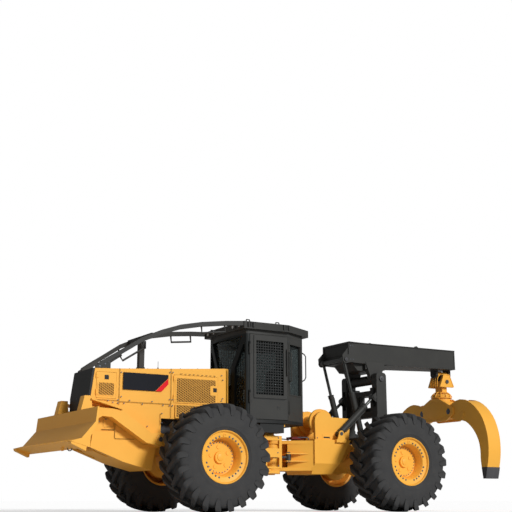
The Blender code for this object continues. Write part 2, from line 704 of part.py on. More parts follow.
def one_cylinder(names, bodies, base, eye, side, pin_along, size, finish="yellow"):
    """A barrel with its base eye, bored where it has a pin, and a rod with its own.

    The rod starts as far up the bore as it can still slide back.
    """
    base = Vector((base[0], side * base[1], base[2]))
    eye = Vector((eye[0], side * eye[1], eye[2]))
    along = (eye - base).normalized()
    mouth = base + along * size["length"]
    bore_start = base + along * (size["eye_r"] + 0.03)
    barrel = [
        stub(pin_along, base, size["eye_r"], size["base_half"]),
        cylinder(base + along * 0.03, mouth, size["barrel_r"]),
    ]
    holes = [cylinder(bore_start, mouth + along * 0.1, size["rod_r"] + 0.001)]
    if size["pin_r"]:
        holes.append(bore(pin_along, base, size["pin_r"], 0.3))
    rod = [
        stub(pin_along, eye, size["eye_r"], size["eye_half"]),
        cylinder(bore_start + along * size["back"], eye - along * 0.01, size["rod_r"]),
    ]
    solid(names[0], bodies[0], finish, barrel, holes)
    solid(names[1], bodies[1], "steel", rod)


LIFT_SIZE = {"barrel_r": 0.045, "rod_r": 0.025, "length": 0.78, "eye_r": 0.045,
             "base_half": 0.055 - GAP, "eye_half": 0.055 - GAP, "pin_r": 0.022, "back": 0.075}
STEER_SIZE = {"barrel_r": 0.05, "rod_r": 0.025, "length": 0.72, "eye_r": 0.055,
              "base_half": 0.07 - GAP, "eye_half": 0.06 - GAP, "pin_r": 0.03, "back": 0.31}
ARCH_SIZE = {"barrel_r": 0.058, "rod_r": 0.030, "length": 0.86, "eye_r": 0.055,
             "base_half": 0.063 - GAP, "eye_half": 0.048 - GAP, "pin_r": 0.025, "back": 0.09}
BOOM_SIZE = {"barrel_r": 0.052, "rod_r": 0.030, "length": 0.97, "eye_r": 0.06, "shaft_r": 0.04,
             "base_half": 0.44 - GAP, "eye_half": 0.412 - GAP, "pin_r": 0.035, "back": 0.17}
GRAB_SIZE = {"barrel_r": 0.06, "rod_r": 0.035, "length": 1.05, "eye_r": 0.06,
             "base_half": TONG_GAP - GAP, "eye_half": TONG_GAP - GAP, "pin_r": None, "back": 0.43}


def side_cylinders():
    """The cylinders that stand one on each side; a pair that moves alike shares its bodies."""
    for side_name, side in (("left", 1), ("right", -1)):
        names = ("lift_barrel_" + side_name, "lift_rod_" + side_name)
        one_cylinder(names, ("lift_barrels", "lift_rods"), LIFT_BASE, LIFT_EYE, side, "Y", LIFT_SIZE)
        names = ("arch_barrel_" + side_name, "arch_rod_" + side_name)
        bodies = ("arch_barrels", "arch_rods")
        one_cylinder(names, bodies, ARCH_BASE, ARCH_EYE, side, "Y", ARCH_SIZE, "dark")
        names = ("steer_barrel_" + side_name, "steer_rod_" + side_name)
        one_cylinder(names, names, STEER_BASE, STEER_EYE, side, "Z", STEER_SIZE)


# Rear half


def rear_frame():
    waist = [(-0.52, 1.35), (-1.37, 1.35), (-1.13, 0.95), (-0.98, 0.70), (-0.52, 0.70)]
    spine = [(-0.9, 1.35), (-1.46, 1.35), (-1.56, 1.26), (-2.45, 1.26), (-2.45, 1.18), (-1.55, 1.18),
             (-1.35, 0.95), (-0.9, 0.85)]
    nose = [(-0.54, 0.53)] + [(0.02, 0.17)] + arc((HITCH_X, 0), 0.15, 90, -90, 8) + [(0.02, -0.17), (-0.54, -0.53)]
    gusset = [(-0.54, 0.03), (-0.54, 0.50), (-0.34, 0.43), (-0.08, 0.415), (0.01, 0.39), (0.01, 0.31),
              (-0.06, 0.24), (-0.10, 0.03)]
    nose_side = [(-0.54, 0.53), (-0.54, 0.49), (-0.16, 0.215), (-0.10, 0.235)]
    tower = [(-0.62, 1.30)] + arc((-0.80, 1.70), 0.195, 0, 125, 7)
    tower += [(-0.99, 1.79), (-1.40, 1.78), (-1.44, 1.68), (-1.40, 1.30)]
    ear = [(-1.84, 1.13)] + arc((ARCH_PIVOT[0], ARCH_PIVOT[2]), 0.105, 20, 160, 6) + [(-2.16, 1.13)]
    base_ear = [(-1.02, 1.33)] + arc((ARCH_BASE[0], ARCH_BASE[2]), 0.06, 30, 150, 5) + [(-1.22, 1.33)]
    shapes = [prism("Y", waist, -0.55, 0.55), prism("Y", spine, -0.30, 0.30)]
    shapes += [prism("Z", nose, 1.262, 1.325), prism("Z", nose, 0.76, 0.822)]
    shapes += [stub("Z", (HITCH_X, 0, 1.0425), 0.13, 0.2825), box((-0.55, -0.05, 0.80), (0.02, 0.05, 1.28))]
    shapes += mirrored([
        prism("Z", nose_side, 0.80, 1.28),
        prism("Z", gusset, 1.065, 1.085),
        prism("Z", gusset, 0.925, 0.945),
        prism("Y", tower, 0.38, 0.44),
        prism("Y", ear, 0.29, 0.44 - GAP),
        stub("Y", (ARCH_PIVOT[0], 0.46, ARCH_PIVOT[2]), 0.045, 0.15),
        prism("Y", base_ear, 0.435, 0.457),
        prism("Y", base_ear, 0.583, 0.60),
        box((-1.24, 0.43, 1.30), (-1.00, 0.602, 1.36)),
        stub("Y", ARCH_BASE, ARCH_SIZE["pin_r"], 0.079),
    ])
    holes = [bore("Z", (HITCH_X, 0, 1.0), HITCH_PIN_R, 0.5), box((-2.38, -0.18, 1.1), (-1.66, 0.18, 1.3))]
    holes += mirrored([
        prism("X", [(0.57, 0.93), (0.57, 0.69), (0.42, 0.69)], -1.5, -0.4),
        box((-0.94, 0.35, 1.36), (-0.78, 0.46, 1.44)),
    ])
    solid("rear_frame", "rear", "yellow", shapes, holes)


def winch_drum():
    shapes = [stub("Y", DRUM, 0.13, 0.30)]
    for y in (-0.26, 0.26):
        shapes.append(stub("Y", (DRUM[0], y, DRUM[2]), 0.23, 0.015, 32))
    shapes.append(stub("Y", DRUM, 0.06, 0.38 - GAP))
    solid("winch_drum", "drum", "yellow", shapes)


# Arch, boom and grapple


def arch():
    leg = [(-2.11, 1.20)] + arc((ARCH_PIVOT[0], ARCH_PIVOT[2]), 0.11, 190, 330, 7)
    leg += [(-1.74, 1.30), (-1.72, 1.40), (-1.78, 1.45), (-1.92, 1.45), (-2.008, 1.90)]
    leg += arc((-2.078, 2.65), 0.07, 0, 90, 4) + arc((-2.182, 2.65), 0.07, 90, 180, 4)
    leg += [(-2.252, 1.85)]
    ear = [(-2.08, 2.06)] + arc((ARCH_EYE[0], ARCH_EYE[2]), 0.06, -60, 60, 5) + [(-2.08, 2.38)]
    shapes = mirrored([
        prism("Y", leg, 0.44, 0.60),
        prism("Y", ear, 0.452, 0.472),
        prism("Y", ear, 0.568, 0.588),
        stub("Y", (ARCH_EYE[0], 0.446, ARCH_EYE[2]), 0.04, 0.008),
        stub("Y", (ARCH_EYE[0], 0.594, ARCH_EYE[2]), 0.04, 0.008),
        box((-2.24, 0.28, 1.88), (-2.08, 0.46, 2.44)),
        box((-2.35, 0.26, 1.94), (-2.22, 0.30, 2.41)),
        cylinder((BOOM_PIVOT[0], 0.42 + GAP, BOOM_PIVOT[2]), (BOOM_PIVOT[0], 0.45, BOOM_PIVOT[2]), 0.08),
    ])
    shapes += [
        box((-2.25, -0.46, 2.28), (-2.07, 0.46, 2.38)),
        box((-2.25, -0.46, 1.84), (-2.07, 0.46, 1.96)),
        stub("Y", (BOOM_BASE[0], 0, BOOM_BASE[2]), 0.035, 0.46),
        stub("Y", (BOOM_PIVOT[0], 0, BOOM_PIVOT[2]), 0.045, 0.615),
        stub("Y", (-2.30, 0, 2.02), 0.05, 0.29, 16),
        stub("Y", (-2.30, 0, 2.33), 0.05, 0.29, 16),
    ]
    holes = mirrored([
        bore("Y", (ARCH_PIVOT[0], 0.5, ARCH_PIVOT[2]), 0.045, 0.2),
        box((-2.062, 0.469, 2.04), (-1.90, 0.571, 2.42)),
    ])
    solid("arch", "arch", "dark", shapes, holes)


def boom():
    # x, half width, bottom, top
    stations = [(-1.45, 0.43, 2.915, 3.31), (-1.75, 0.425, 2.905, 3.31), (-4.45, 0.22, 2.98, 3.37)]
    rings = []
    for x, half, low, high in stations:
        rings.append([(x, -half, low), (x, half, low), (x, half, high), (x, -half, high)])
    pivot_ear = [(-1.88, 2.95)] + arc((BOOM_PIVOT[0], BOOM_PIVOT[2]), 0.105, -20, -160, 6) + [(-2.38, 2.95)]
    pedestal = [(-1.60, 2.93), (-1.75, 2.77), (-2.30, 2.77), (-2.45, 2.95)]
    rod_ear = [(-1.60, 2.93), (-1.60, 3.20), (-1.44, 3.20), (-1.30, 3.05)]
    rod_ear += arc((BOOM_EYE[0], BOOM_EYE[2]), 0.075, 20, -120, 6)
    shapes = [loft(rings), prism("Y", pedestal, -0.32, 0.32)]
    shapes += [stub("Y", (BOOM_PIVOT[0], 0, BOOM_PIVOT[2]), 0.10, 0.42)]
    shapes += mirrored([
        prism("Y", pivot_ear, 0.32, 0.42),
        box((-2.38, 0.28, 2.80), (-1.89, 0.40, 2.93)),
        prism("Y", rod_ear, 0.412, 0.435),
        stub("Y", (BOOM_EYE[0], 0.440, BOOM_EYE[2]), 0.045, 0.008),
    ])
    hanger = [(-0.10, 3.0), (-0.10, 2.84), (-0.06, 2.79), (0.06, 2.79), (0.10, 2.84), (0.10, 3.0)]
    shapes += [
        prism("X", hanger, HANG_X + 0.15, HANG_X + 0.20),
        prism("X", hanger, HANG_X - 0.20, HANG_X - 0.15),
        stub("X", (HANG_X, 0, SIDE_Z), 0.03, 0.21),
    ]
    holes = [bore("Y", (BOOM_PIVOT[0], 0, BOOM_PIVOT[2]), 0.045, 0.6)]
    for x, z in ((-2.20, 3.33), (-3.44, 3.357)):
        shapes += mirrored([prism("Y", arc((x, z), 0.06, -25, 205, 8), 0.135, 0.165)])
        holes += mirrored([stub("Y", (x, 0.15, z + 0.012), 0.022, 0.03, 8)])
    solid("boom", "boom", "dark", shapes, holes)


def crosshead():
    half = [(0.185, 2.585), (0.195, 2.60), (0.15, 2.70), (0.105, 2.80), (0.095, 2.84), (0.06, 2.86)]
    bell = [(HANG_X + x, z) for x, z in half] + [(HANG_X - x, z) for x, z in reversed(half)]
    shapes = [stub("X", (HANG_X, 0, SIDE_Z), 0.07, 0.15 - GAP)]
    shapes += mirrored([prism("Y", bell, 0.15, 0.195)])
    shapes += [box((HANG_X - 0.085, -0.17, 2.80), (HANG_X + 0.085, 0.17, 2.86)),
               stub("Y", (HANG_X, 0, FORE_Z), 0.035, 0.21)]
    holes = [bore("X", (HANG_X, 0, SIDE_Z), 0.03, 0.3)]
    solid("crosshead", "crosshead", "yellow", shapes, holes)


def rotator_link():
    shapes = [
        stub("Y", (HANG_X, 0, FORE_Z), 0.075, 0.15 - GAP),
        box((HANG_X - 0.065, -0.11, 2.38), (HANG_X + 0.065, 0.11, FORE_Z)),
        stub("Z", (HANG_X, 0, 2.385), 0.20, 0.035, 32),
    ]
    holes = [bore("Y", (HANG_X, 0, FORE_Z), 0.035, 0.3)]
    solid("rotator_link", "link", "yellow", shapes, holes)


def grapple_frame():
    half = [(0.13, 2.335), (0.56, 2.12), (0.56, 1.98), (0.34, 1.85)]
    plate = half + [(-y, z) for y, z in reversed(half)]
    shapes = [
        prism("X", plate, HANG_X - TONG_HALF - 0.04, HANG_X - TONG_HALF - GAP),
        prism("X", plate, HANG_X + TONG_HALF + GAP, HANG_X + TONG_HALF + 0.04),
        box((HANG_X - TONG_HALF - 0.01, -0.20, 2.20), (HANG_X + TONG_HALF + 0.01, 0.20, 2.28)),
        stub("Z", (HANG_X, 0, 2.30), 0.19, 0.05 - GAP, 32),
    ]
    for side in (1, -1):
        for x in (HANG_X - TONG_HALF, HANG_X + TONG_HALF):
            shapes.append(stub("X", (x, side * TONG_PIVOT[1], TONG_PIVOT[2]), 0.04, 0.05))
    solid("grapple_frame", "grapple", "yellow", shapes)


# outer edge then inner edge of a tong, as distance from the middle and height, both as smooth curves
TONG_OUT = [(0.34, 2.10), (0.42, 2.16), (0.75, 2.27), (1.09, 2.16), (1.36, 1.90), (1.50, 1.57), (1.53, 1.25),
            (1.49, 0.95), (1.40, 0.66)]
TONG_IN = [(1.34, 0.64), (1.29, 0.98), (1.29, 1.20), (1.25, 1.40), (1.12, 1.62), (0.90, 1.80), (0.62, 1.85),
           (0.36, 1.94)]


def tongs():
    for side_name, side in (("left", 1), ("right", -1)):
        outline = curve(TONG_OUT, 3) + curve(TONG_IN, 3)
        shapes = [prism("X", outline, HANG_X - TONG_HALF, HANG_X + TONG_HALF)]
        holes = [
            box((HANG_X - TONG_GAP, 0.0, 1.6), (HANG_X + TONG_GAP, 0.94, 2.5)),
            bore("X", TONG_PIVOT, 0.04, 0.4),
        ]
        name = "tong_" + side_name
        solid(name, name, "yellow", sided(shapes, side), sided(holes, side))


def grapple_cylinder():
    eye = (TONG_EYE[0], -TONG_EYE[1], TONG_EYE[2])
    names = ("grapple_barrel", "grapple_rod")
    one_cylinder(names, ("tong_barrel", "tong_rod"), TONG_EYE, eye, 1, "X", GRAB_SIZE)


# Wheels


def tyre_shape():
    """A lugged ring as a grid of columns round it and rows across it."""
    pitch = 2 * math.pi / LUGS
    columns = (0.0, 0.30, 0.42, 0.88)
    lugged = (True, True, False, False)
    # across, radius on a lug, radius in a void, share of a pitch it leads by
    rows = (
        (-0.355, RIM_R + GAP, RIM_R + GAP, 0.0),
        (-TYRE_HALF, 0.66, 0.66, 0.0),
        (-0.370, 0.905, 0.83, 0.9),
        (-0.035, TYRE_R, TYRE_R - LUG_DEPTH, 0.0),
        (0.035, TYRE_R, TYRE_R - LUG_DEPTH, 0.5),
        (0.370, 0.905, 0.83, 1.4),
        (TYRE_HALF, 0.66, 0.66, 0.5),
        (0.355, RIM_R + GAP, RIM_R + GAP, 0.5),
    )
    points, faces = [], []
    around = LUGS * len(columns)
    for y, on_lug, in_void, lead in rows:
        for lug in range(LUGS):
            for share, top in zip(columns, lugged):
                angle = -math.pi / 2 + pitch * (lug + share + lead)
                r = on_lug if top else in_void
                points.append(Vector((r * math.cos(angle), y, r * math.sin(angle))))
    for row in range(len(rows)):
        a = row * around
        b = ((row + 1) % len(rows)) * around
        shift = 0
        if row == len(rows) - 1:
            shift = -(len(columns) // 2)
        for i in range(around):
            j = (i + 1) % around
            faces.append((a + i, a + j, b + (j - shift) % around, b + (i - shift) % around))
    return points, faces


def moved(shape, offset, mirror=1):
    points, faces = shape
    return [Vector((p.x, mirror * p.y, p.z)) + Vector(offset) for p in points], faces


def wheels():
    for end, x in (("front", AXLE_X), ("rear", -AXLE_X)):
        for side_name, side in (("left", 1), ("right", -1)):
            body = end + "_wheel_" + side_name
            centre = (x, side * TRACK_Y, AXLE_Z)
            tyre = moved(tyre_shape(), centre, side)
            solid(end + "_tyre_" + side_name, body, "rubber", [tyre])
            out = (0, side, 0)
            drum = turned(centre, out, [(-0.34, RIM_R - 0.0015), (0.335, RIM_R - 0.0015)], 32)
            dish = turned(centre, out, [(0.135, 0.29), (0.35, 0.325)], 32)
            back = turned(centre, out, [(-0.40, 0.40), (0.10, 0.385)], 32)
            solid(end + "_rim_" + side_name, body, "yellow", [drum], [back, dish])


def main():
    for old in list(bpy.data.objects):
        bpy.data.objects.remove(old)
    lay_out_bodies()
    front_frame()
    axle("front_axle", "chassis", AXLE_X, 1)
    hood()
    radiator_guard()
    engine()
    limb_risers()
    cab_floor()
    cab_walls()
    cab_glass()
    roof()
    cab_doors()
    hood_doors()
    seat()
    console()
    blade()
    side_cylinders()
    rear_frame()
    axle("rear_axle", "rear", -AXLE_X, -1)
    winch_drum()
    arch()
    boom()
    boom_cylinders()
    crosshead()
    rotator_link()
    grapple_frame()
    tongs()
    grapple_cylinder()
    wheels()


main()
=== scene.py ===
import json
import math

import bmesh
import bpy
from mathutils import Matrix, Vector


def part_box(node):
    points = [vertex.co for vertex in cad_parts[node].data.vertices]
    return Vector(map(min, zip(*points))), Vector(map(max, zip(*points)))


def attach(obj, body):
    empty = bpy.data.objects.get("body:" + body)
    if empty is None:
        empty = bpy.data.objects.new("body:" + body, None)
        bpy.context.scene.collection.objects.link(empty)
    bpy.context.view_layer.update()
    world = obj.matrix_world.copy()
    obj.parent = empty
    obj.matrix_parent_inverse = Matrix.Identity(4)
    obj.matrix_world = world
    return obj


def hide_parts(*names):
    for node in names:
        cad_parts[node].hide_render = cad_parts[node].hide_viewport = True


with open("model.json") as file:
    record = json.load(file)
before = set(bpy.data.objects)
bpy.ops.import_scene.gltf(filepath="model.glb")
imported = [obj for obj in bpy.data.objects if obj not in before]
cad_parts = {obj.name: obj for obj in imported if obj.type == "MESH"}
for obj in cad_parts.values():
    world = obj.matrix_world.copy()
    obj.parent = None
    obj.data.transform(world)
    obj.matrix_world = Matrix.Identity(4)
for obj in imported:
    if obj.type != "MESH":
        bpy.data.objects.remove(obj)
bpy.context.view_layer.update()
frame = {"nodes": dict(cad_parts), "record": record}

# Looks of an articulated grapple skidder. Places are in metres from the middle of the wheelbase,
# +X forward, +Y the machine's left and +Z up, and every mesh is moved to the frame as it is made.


def middle_of(name):
    low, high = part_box(name)
    return (low + high) / 2


# Driving places, read from the frame
WHEELS = {
    (end, side): middle_of(f"{end}_rim_{side}")
    for end in ("front", "rear")
    for side in ("left", "right")
}
MID_X = (WHEELS["front", "left"].x + WHEELS["rear", "left"].x) / 2
AXLE_X = WHEELS["front", "left"].x - MID_X
SIDES = (("left", 1), ("right", -1))
HOOD_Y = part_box("hood")[1].y
# Outer faces of the cab's doors and of the hood's doors
DOOR_Y = 0.724
HOOD_DOOR_Y = 0.455
# How far thin pieces sink into the panel under them, and how far each kind stands out
SUNK = 0.001
SEAM_OUT = 0.0006
SCREEN_OUT = 0.0007
MARK_OUT = 0.0008
RIM_OUT = 0.005
# Angle between faces from which an edge is sharp
CREASE_DEG = 35

AHEAD, OUT, UP = (1, 0, 0), (0, 1, 0), (0, 0, 1)
# For each axis that an outline is drawn along, the point from (along, first, second)
PLACES = {
    "X": lambda at, u, v: (at, u, v),
    "Y": lambda at, u, v: (u, at, v),
    "Z": lambda at, u, v: (u, v, at),
}


# Meshes as lists of points and faces, in closed shells

class Shape:
    """Points and faces that grow into one mesh."""

    def __init__(self):
        self.points = []
        self.faces = []

    def add(self, points, faces):
        base = len(self.points)
        self.points += [Vector(p) for p in points]
        self.faces += [tuple(base + i for i in face) for face in faces]
        return self

    def loft(self, rings, closed=False):
        """A skin through rings of equal count, capped at both ends unless it closes on itself."""
        count = len(rings[0])
        points = [p for ring in rings for p in ring]
        faces = []
        if not closed:
            faces.append(tuple(range(count)))
            faces.append(tuple((len(rings) - 1) * count + i for i in range(count)))
        for r in range(len(rings) - (0 if closed else 1)):
            a = r * count
            b = (r + 1) % len(rings) * count
            for i in range(count):
                j = (i + 1) % count
                faces.append((a + i, a + j, b + j, b + i))
        return self.add(points, faces)

    def prism(self, along, outline, low, high):
        """An outline in the plane of the other two axes, in X, Y, Z order, drawn along one axis."""
        place = PLACES[along]
        return self.loft([[place(at, u, v) for u, v in outline] for at in (low, high)])

    def box(self, low, high):
        return self.prism("Z", rectangle(low[0], low[1], high[0], high[1]), low[2], high[2])

    def frame(self, along, outer, inner, low, high):
        """A flat frame between two outlines of equal count."""
        place = PLACES[along]
        edges = ((low, outer), (high, outer), (high, inner), (low, inner))
        return self.loft([[place(at, u, v) for u, v in outline] for at, outline in edges], closed=True)

    def round(self, start, end, radius, facets=24, end_radius=None):
        start, end = Vector(start), Vector(end)
        first, second = across(end - start)
        ends = ((start, radius), (end, radius if end_radius is None else end_radius))
        return self.loft([circle(centre, first, second, r, facets) for centre, r in ends])

    def turned(self, centre, direction, profile, facets=96):
        """Rings about an axis from a table of (distance along it, radius)."""
        centre, direction = Vector(centre), Vector(direction).normalized()
        first, second = across(direction)
        return self.loft([circle(centre + direction * at, first, second, r, facets) for at, r in profile])

    def tube(self, path, radius, facets=10):
        """A round bar through the points of a path."""
        path = [Vector(p) for p in path]
        rings = []
        first = None
        for i, point in enumerate(path):
            along = heading(path, i)
            if first is None:
                first, _ = across(along)
            first = (first - along * first.dot(along)).normalized()
            rings.append(circle(point, first, along.cross(first), radius, facets))
        return self.loft(rings)

    def bolt(self, point, direction, size=0.011):
        """A hexagon head on a washer, in shares of the head's radius."""
        point, direction = Vector(point), Vector(direction).normalized()
        self.round(point, point + direction * size * 0.25, size * 1.35, 12)
        self.round(point + direction * size * 0.2, point + direction * size * 0.95, size, 6, size * 0.94)
        return self

    def bolts(self, points, direction, size):
        for point in points:
            self.bolt(point, direction, size)
        return self

    def mirror(self):
        """The shape and its mirror image across the machine's middle."""
        count = len(self.points)
        points = [Vector((p.x, -p.y, p.z)) for p in self.points]
        faces = [tuple(reversed(face)) for face in self.faces]
        self.points += points
        self.faces += [tuple(count + i for i in face) for face in faces]
        return self

    def flipped(self, side):
        """The shape as drawn for the left, or its mirror image for the right."""
        if side < 0:
            self.points = [Vector((p.x, -p.y, p.z)) for p in self.points]
        return self


def across(direction):
    """Two directions square to a direction and to each other."""
    along = Vector(direction).normalized()
    helper = Vector(UP if abs(along.z) < 0.9 else AHEAD)
    first = along.cross(helper).normalized()
    return first, along.cross(first).normalized()


def turns(count, start=0.0):
    return [2 * math.pi * (i + start) / count for i in range(count)]


def circle(centre, first, second, radius, facets):
    """Points round a centre, in the plane of two directions."""
    return [centre + radius * (first * math.cos(a) + second * math.sin(a)) for a in turns(facets)]


def heading(path, i):
    """Direction of a path at one of its points, from the point before to the one after."""
    return (path[min(i + 1, len(path) - 1)] - path[max(i - 1, 0)]).normalized()


def rectangle(u0, v0, u1, v1):
    return [(u0, v0), (u1, v0), (u1, v1), (u0, v1)]


def rounded(u0, v0, u1, v1, radius, steps=4):
    """A rectangle's outline with round corners."""
    found = []
    corners = (
        # centre's first and second coordinate, first angle in quarter turns
        (u1 - radius, v1 - radius, 0),
        (u0 + radius, v1 - radius, 1),
        (u0 + radius, v0 + radius, 2),
        (u1 - radius, v0 + radius, 3),
    )
    for u, v, start in corners:
        for i in range(steps + 1):
            angle = math.pi / 2 * (start + i / steps)
            found.append((u + radius * math.cos(angle), v + radius * math.sin(angle)))
    return found


def arc(centre, radius, start_deg, end_deg, steps):
    found = []
    for i in range(steps + 1):
        angle = math.radians(start_deg + (end_deg - start_deg) * i / steps)
        found.append((centre[0] + radius * math.cos(angle), centre[1] + radius * math.sin(angle)))
    return found


def placed(name, data):
    made = bpy.data.objects.new(name, data)
    bpy.context.scene.collection.objects.link(made)
    return made


def aim(made, direction, axis):
    """Turns a camera or lamp so that one of its axes points along a direction, with Y up."""
    made.rotation_mode = "QUATERNION"
    made.rotation_quaternion = Vector(direction).to_track_quat(axis, "Y")


def piece(name, body, finish, shape, bevel=0.0, smooth=CREASE_DEG):
    """One object from a shape, on its body."""
    mesh = bpy.data.meshes.new(name)
    held = bmesh.new()
    corners = [held.verts.new((p.x + MID_X, p.y, p.z)) for p in shape.points]
    for face in shape.faces:
        held.faces.new([corners[i] for i in face])
    bmesh.ops.recalc_face_normals(held, faces=held.faces)
    held.to_mesh(mesh)
    held.free()
    made = placed(name, mesh)
    if bevel:
        modifier = made.modifiers.new("Edges", "BEVEL")
        modifier.width = bevel
        modifier.segments = 2
        modifier.limit_method = "ANGLE"
        modifier.angle_limit = math.radians(CREASE_DEG)
    mesh.shade_smooth()
    mesh.set_sharp_from_angle(angle=math.radians(smooth))
    mesh.materials.append(finish)
    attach(made, body)
    return made


# Materials

def set_inputs(made, values):
    for name, value in values.items():
        made.inputs[name].default_value = value


def node(tree, kind, values):
    """A shader node with some of its inputs set."""
    found = tree.nodes.new(f"ShaderNode{kind}")
    set_inputs(found, values)
    return found


def noise_of(tree, scale, detail=4.0):
    """A noise in the object's own metres."""
    found = node(tree, "TexNoise", {"Scale": scale, "Detail": detail})
    tree.links.new(node(tree, "TexCoord", {}).outputs["Object"], found.inputs["Vector"])
    return found.outputs["Fac"]


def spread(tree, value, low, high):
    """A value from 0.3 to 0.7 mapped to a range."""
    found = node(tree, "MapRange", {"From Min": 0.3, "From Max": 0.7, "To Min": low, "To Max": high})
    tree.links.new(value, found.inputs["Value"])
    return found.outputs["Result"]


def wander(tree, value, first, second, socket):
    """Mixes two colours by a noise into a socket."""
    found = node(tree, "Mix", {})
    found.data_type = "RGBA"
    for name, colour in (("A", first), ("B", second)):
        target = [i for i in found.inputs if i.name == name and i.type == "RGBA"][0]
        target.default_value = (*colour, 1.0)
    factor = [i for i in found.inputs if i.name == "Factor"][0]
    tree.links.new(spread(tree, value, 0.0, 1.0), factor)
    tree.links.new([o for o in found.outputs if o.type == "RGBA"][0], socket)


def new_material(name):
    made = bpy.data.materials.new(name)
    made.use_nodes = True
    return made, made.node_tree, made.node_tree.nodes["Principled BSDF"]


def material(name, colour, shade, rough, patch=3.0, grain=120.0, bump=0.05, depth=0.001, metallic=0.0,
             edge=0.0, coat=0.0, sheen=0.25):
    """A finish that wanders between two colours, with fine grain in its gloss and its surface."""
    made, tree, shader = new_material(name)
    broad = noise_of(tree, patch)
    fine = noise_of(tree, grain, 3.0)
    wander(tree, broad, colour, shade, shader.inputs["Base Color"])
    tree.links.new(spread(tree, fine, *rough), shader.inputs["Roughness"])
    set_inputs(shader, {"Metallic": metallic, "Specular IOR Level": sheen, "Coat Weight": coat,
                        "Coat Roughness": 0.25})
    relief = node(tree, "Bump", {"Strength": bump, "Distance": depth})
    tree.links.new(fine, relief.inputs["Height"])
    if edge:
        soft = node(tree, "Bevel", {"Radius": edge})
        soft.samples = 4
        tree.links.new(soft.outputs["Normal"], relief.inputs["Normal"])
    tree.links.new(relief.outputs["Normal"], shader.inputs["Normal"])
    return made


def glass_material():
    """Tinted safety glass with a faint film of dust."""
    made, tree, shader = new_material("tinted_glass")
    dust = noise_of(tree, 6.0)
    wander(tree, dust, (0.175, 0.20, 0.20), (0.15, 0.175, 0.175), shader.inputs["Base Color"])
    tree.links.new(spread(tree, dust, 0.0, 0.03), shader.inputs["Roughness"])
    set_inputs(shader, {"Transmission Weight": 0.9, "IOR": 1.15})
    return made


# Main colour, second colour, and least and most roughness
YELLOW_TONES = ((0.92, 0.455, 0.062), (0.895, 0.435, 0.056), (0.36, 0.5))
DARK_TONES = ((0.047, 0.047, 0.044), (0.041, 0.041, 0.039), (0.42, 0.56))

YELLOW = material("yellow_paint", *YELLOW_TONES, edge=0.004)
YELLOW_PLAIN = material("yellow_detail", *YELLOW_TONES)
SCREEN = material("screen_paint", (0.66, 0.32, 0.045), (0.60, 0.29, 0.04), (0.5, 0.65), patch=9.0)
DARK = material("dark_paint", *DARK_TONES, edge=0.004, sheen=0.15)
DARK_PLAIN = material("dark_detail", *DARK_TONES, sheen=0.15)
BLACK = material("black_paint", (0.017, 0.018, 0.018), (0.013, 0.014, 0.014), (0.45, 0.6), edge=0.003)
RUBBER = material("tyre_rubber", (0.047, 0.047, 0.047), (0.038, 0.038, 0.039), (0.72, 0.9), patch=5.0,
                  grain=260.0, bump=0.25, depth=0.002)
STEEL = material("ground_steel", (0.30, 0.30, 0.31), (0.26, 0.26, 0.27), (0.22, 0.34), grain=300.0,
                 metallic=1.0)
BOLT = material("bolt_steel", (0.13, 0.145, 0.175), (0.10, 0.115, 0.14), (0.35, 0.5), metallic=0.6)
IRON = material("dark_iron", (0.10, 0.10, 0.105), (0.075, 0.075, 0.08), (0.55, 0.75), metallic=0.4)
VINYL = material("black_vinyl", (0.028, 0.028, 0.030), (0.020, 0.020, 0.022), (0.55, 0.7), grain=420.0,
                 bump=0.4, depth=0.002)
DECAL = material("decal_black", (0.008, 0.009, 0.014), (0.006, 0.007, 0.011), (0.4, 0.55), sheen=0.1)
RED = material("decal_red", (0.78, 0.014, 0.022), (0.74, 0.012, 0.020), (0.4, 0.55), sheen=0.1)
ROD = material("dark_rod", (0.085, 0.088, 0.085), (0.070, 0.073, 0.070), (0.28, 0.4), grain=300.0,
               metallic=0.6)
SCREENED = material("screened_glass", (0.015, 0.018, 0.018), (0.012, 0.014, 0.014), (0.3, 0.45), sheen=0.15)
LENS = material("lamp_lens", (0.55, 0.57, 0.58), (0.48, 0.50, 0.51), (0.08, 0.16), coat=1.0, sheen=0.5)
SEAM = material("seam_shadow", (0.27, 0.13, 0.02), (0.24, 0.115, 0.018), (0.6, 0.75))
BEHIND = material("screen_shadow", (0.115, 0.052, 0.010), (0.085, 0.040, 0.008), (0.7, 0.85))
RED_IRON = material("red_primer", (0.13, 0.012, 0.012), (0.10, 0.010, 0.010), (0.5, 0.65))
GLASS = glass_material()

# Finish of each slot, and of the nodes that differ from their slot
FINISHES = {
    "yellow": YELLOW, "dark": DARK, "black": BLACK, "rubber": RUBBER,
    "steel": STEEL, "iron": IRON, "glass": GLASS, "vinyl": VINYL,
}
OWN_FINISH = {
    "boom_rods": ROD,
    "arch_rod_left": ROD, "arch_rod_right": ROD,
    "steer_rod_left": ROD, "steer_rod_right": ROD,
    # The cab floor is black partly because its under-cab box is dark, and partly as painted shade under the
    # cab
    "cab_front_wall": SCREENED, "cab_floor": BLACK,
}
FRAME_WELD = 0.00001
FRAME_CREASE_DEG = 32


def smooth_frame(solid):
    """Smooth shading on a frame node's round faces, with its sharp edges kept."""
    mesh = solid.data
    held = mesh.attributes.get("custom_normal")
    if held:
        mesh.attributes.remove(held)
    mesh.shade_smooth()
    weld = solid.modifiers.new("Weld", "WELD")
    weld.merge_threshold = FRAME_WELD
    split = solid.modifiers.new("Split", "EDGE_SPLIT")
    split.split_angle = math.radians(FRAME_CREASE_DEG)
    split.use_edge_sharp = False


def dress_frame():
    slots = {s["node"]: s["material_slot"] for s in frame["record"]["subparts"]}
    for name, solid in frame["nodes"].items():
        solid.data.materials.clear()
        solid.data.materials.append(OWN_FINISH.get(name, FINISHES[slots[name]]))
        smooth_frame(solid)


# Wheels

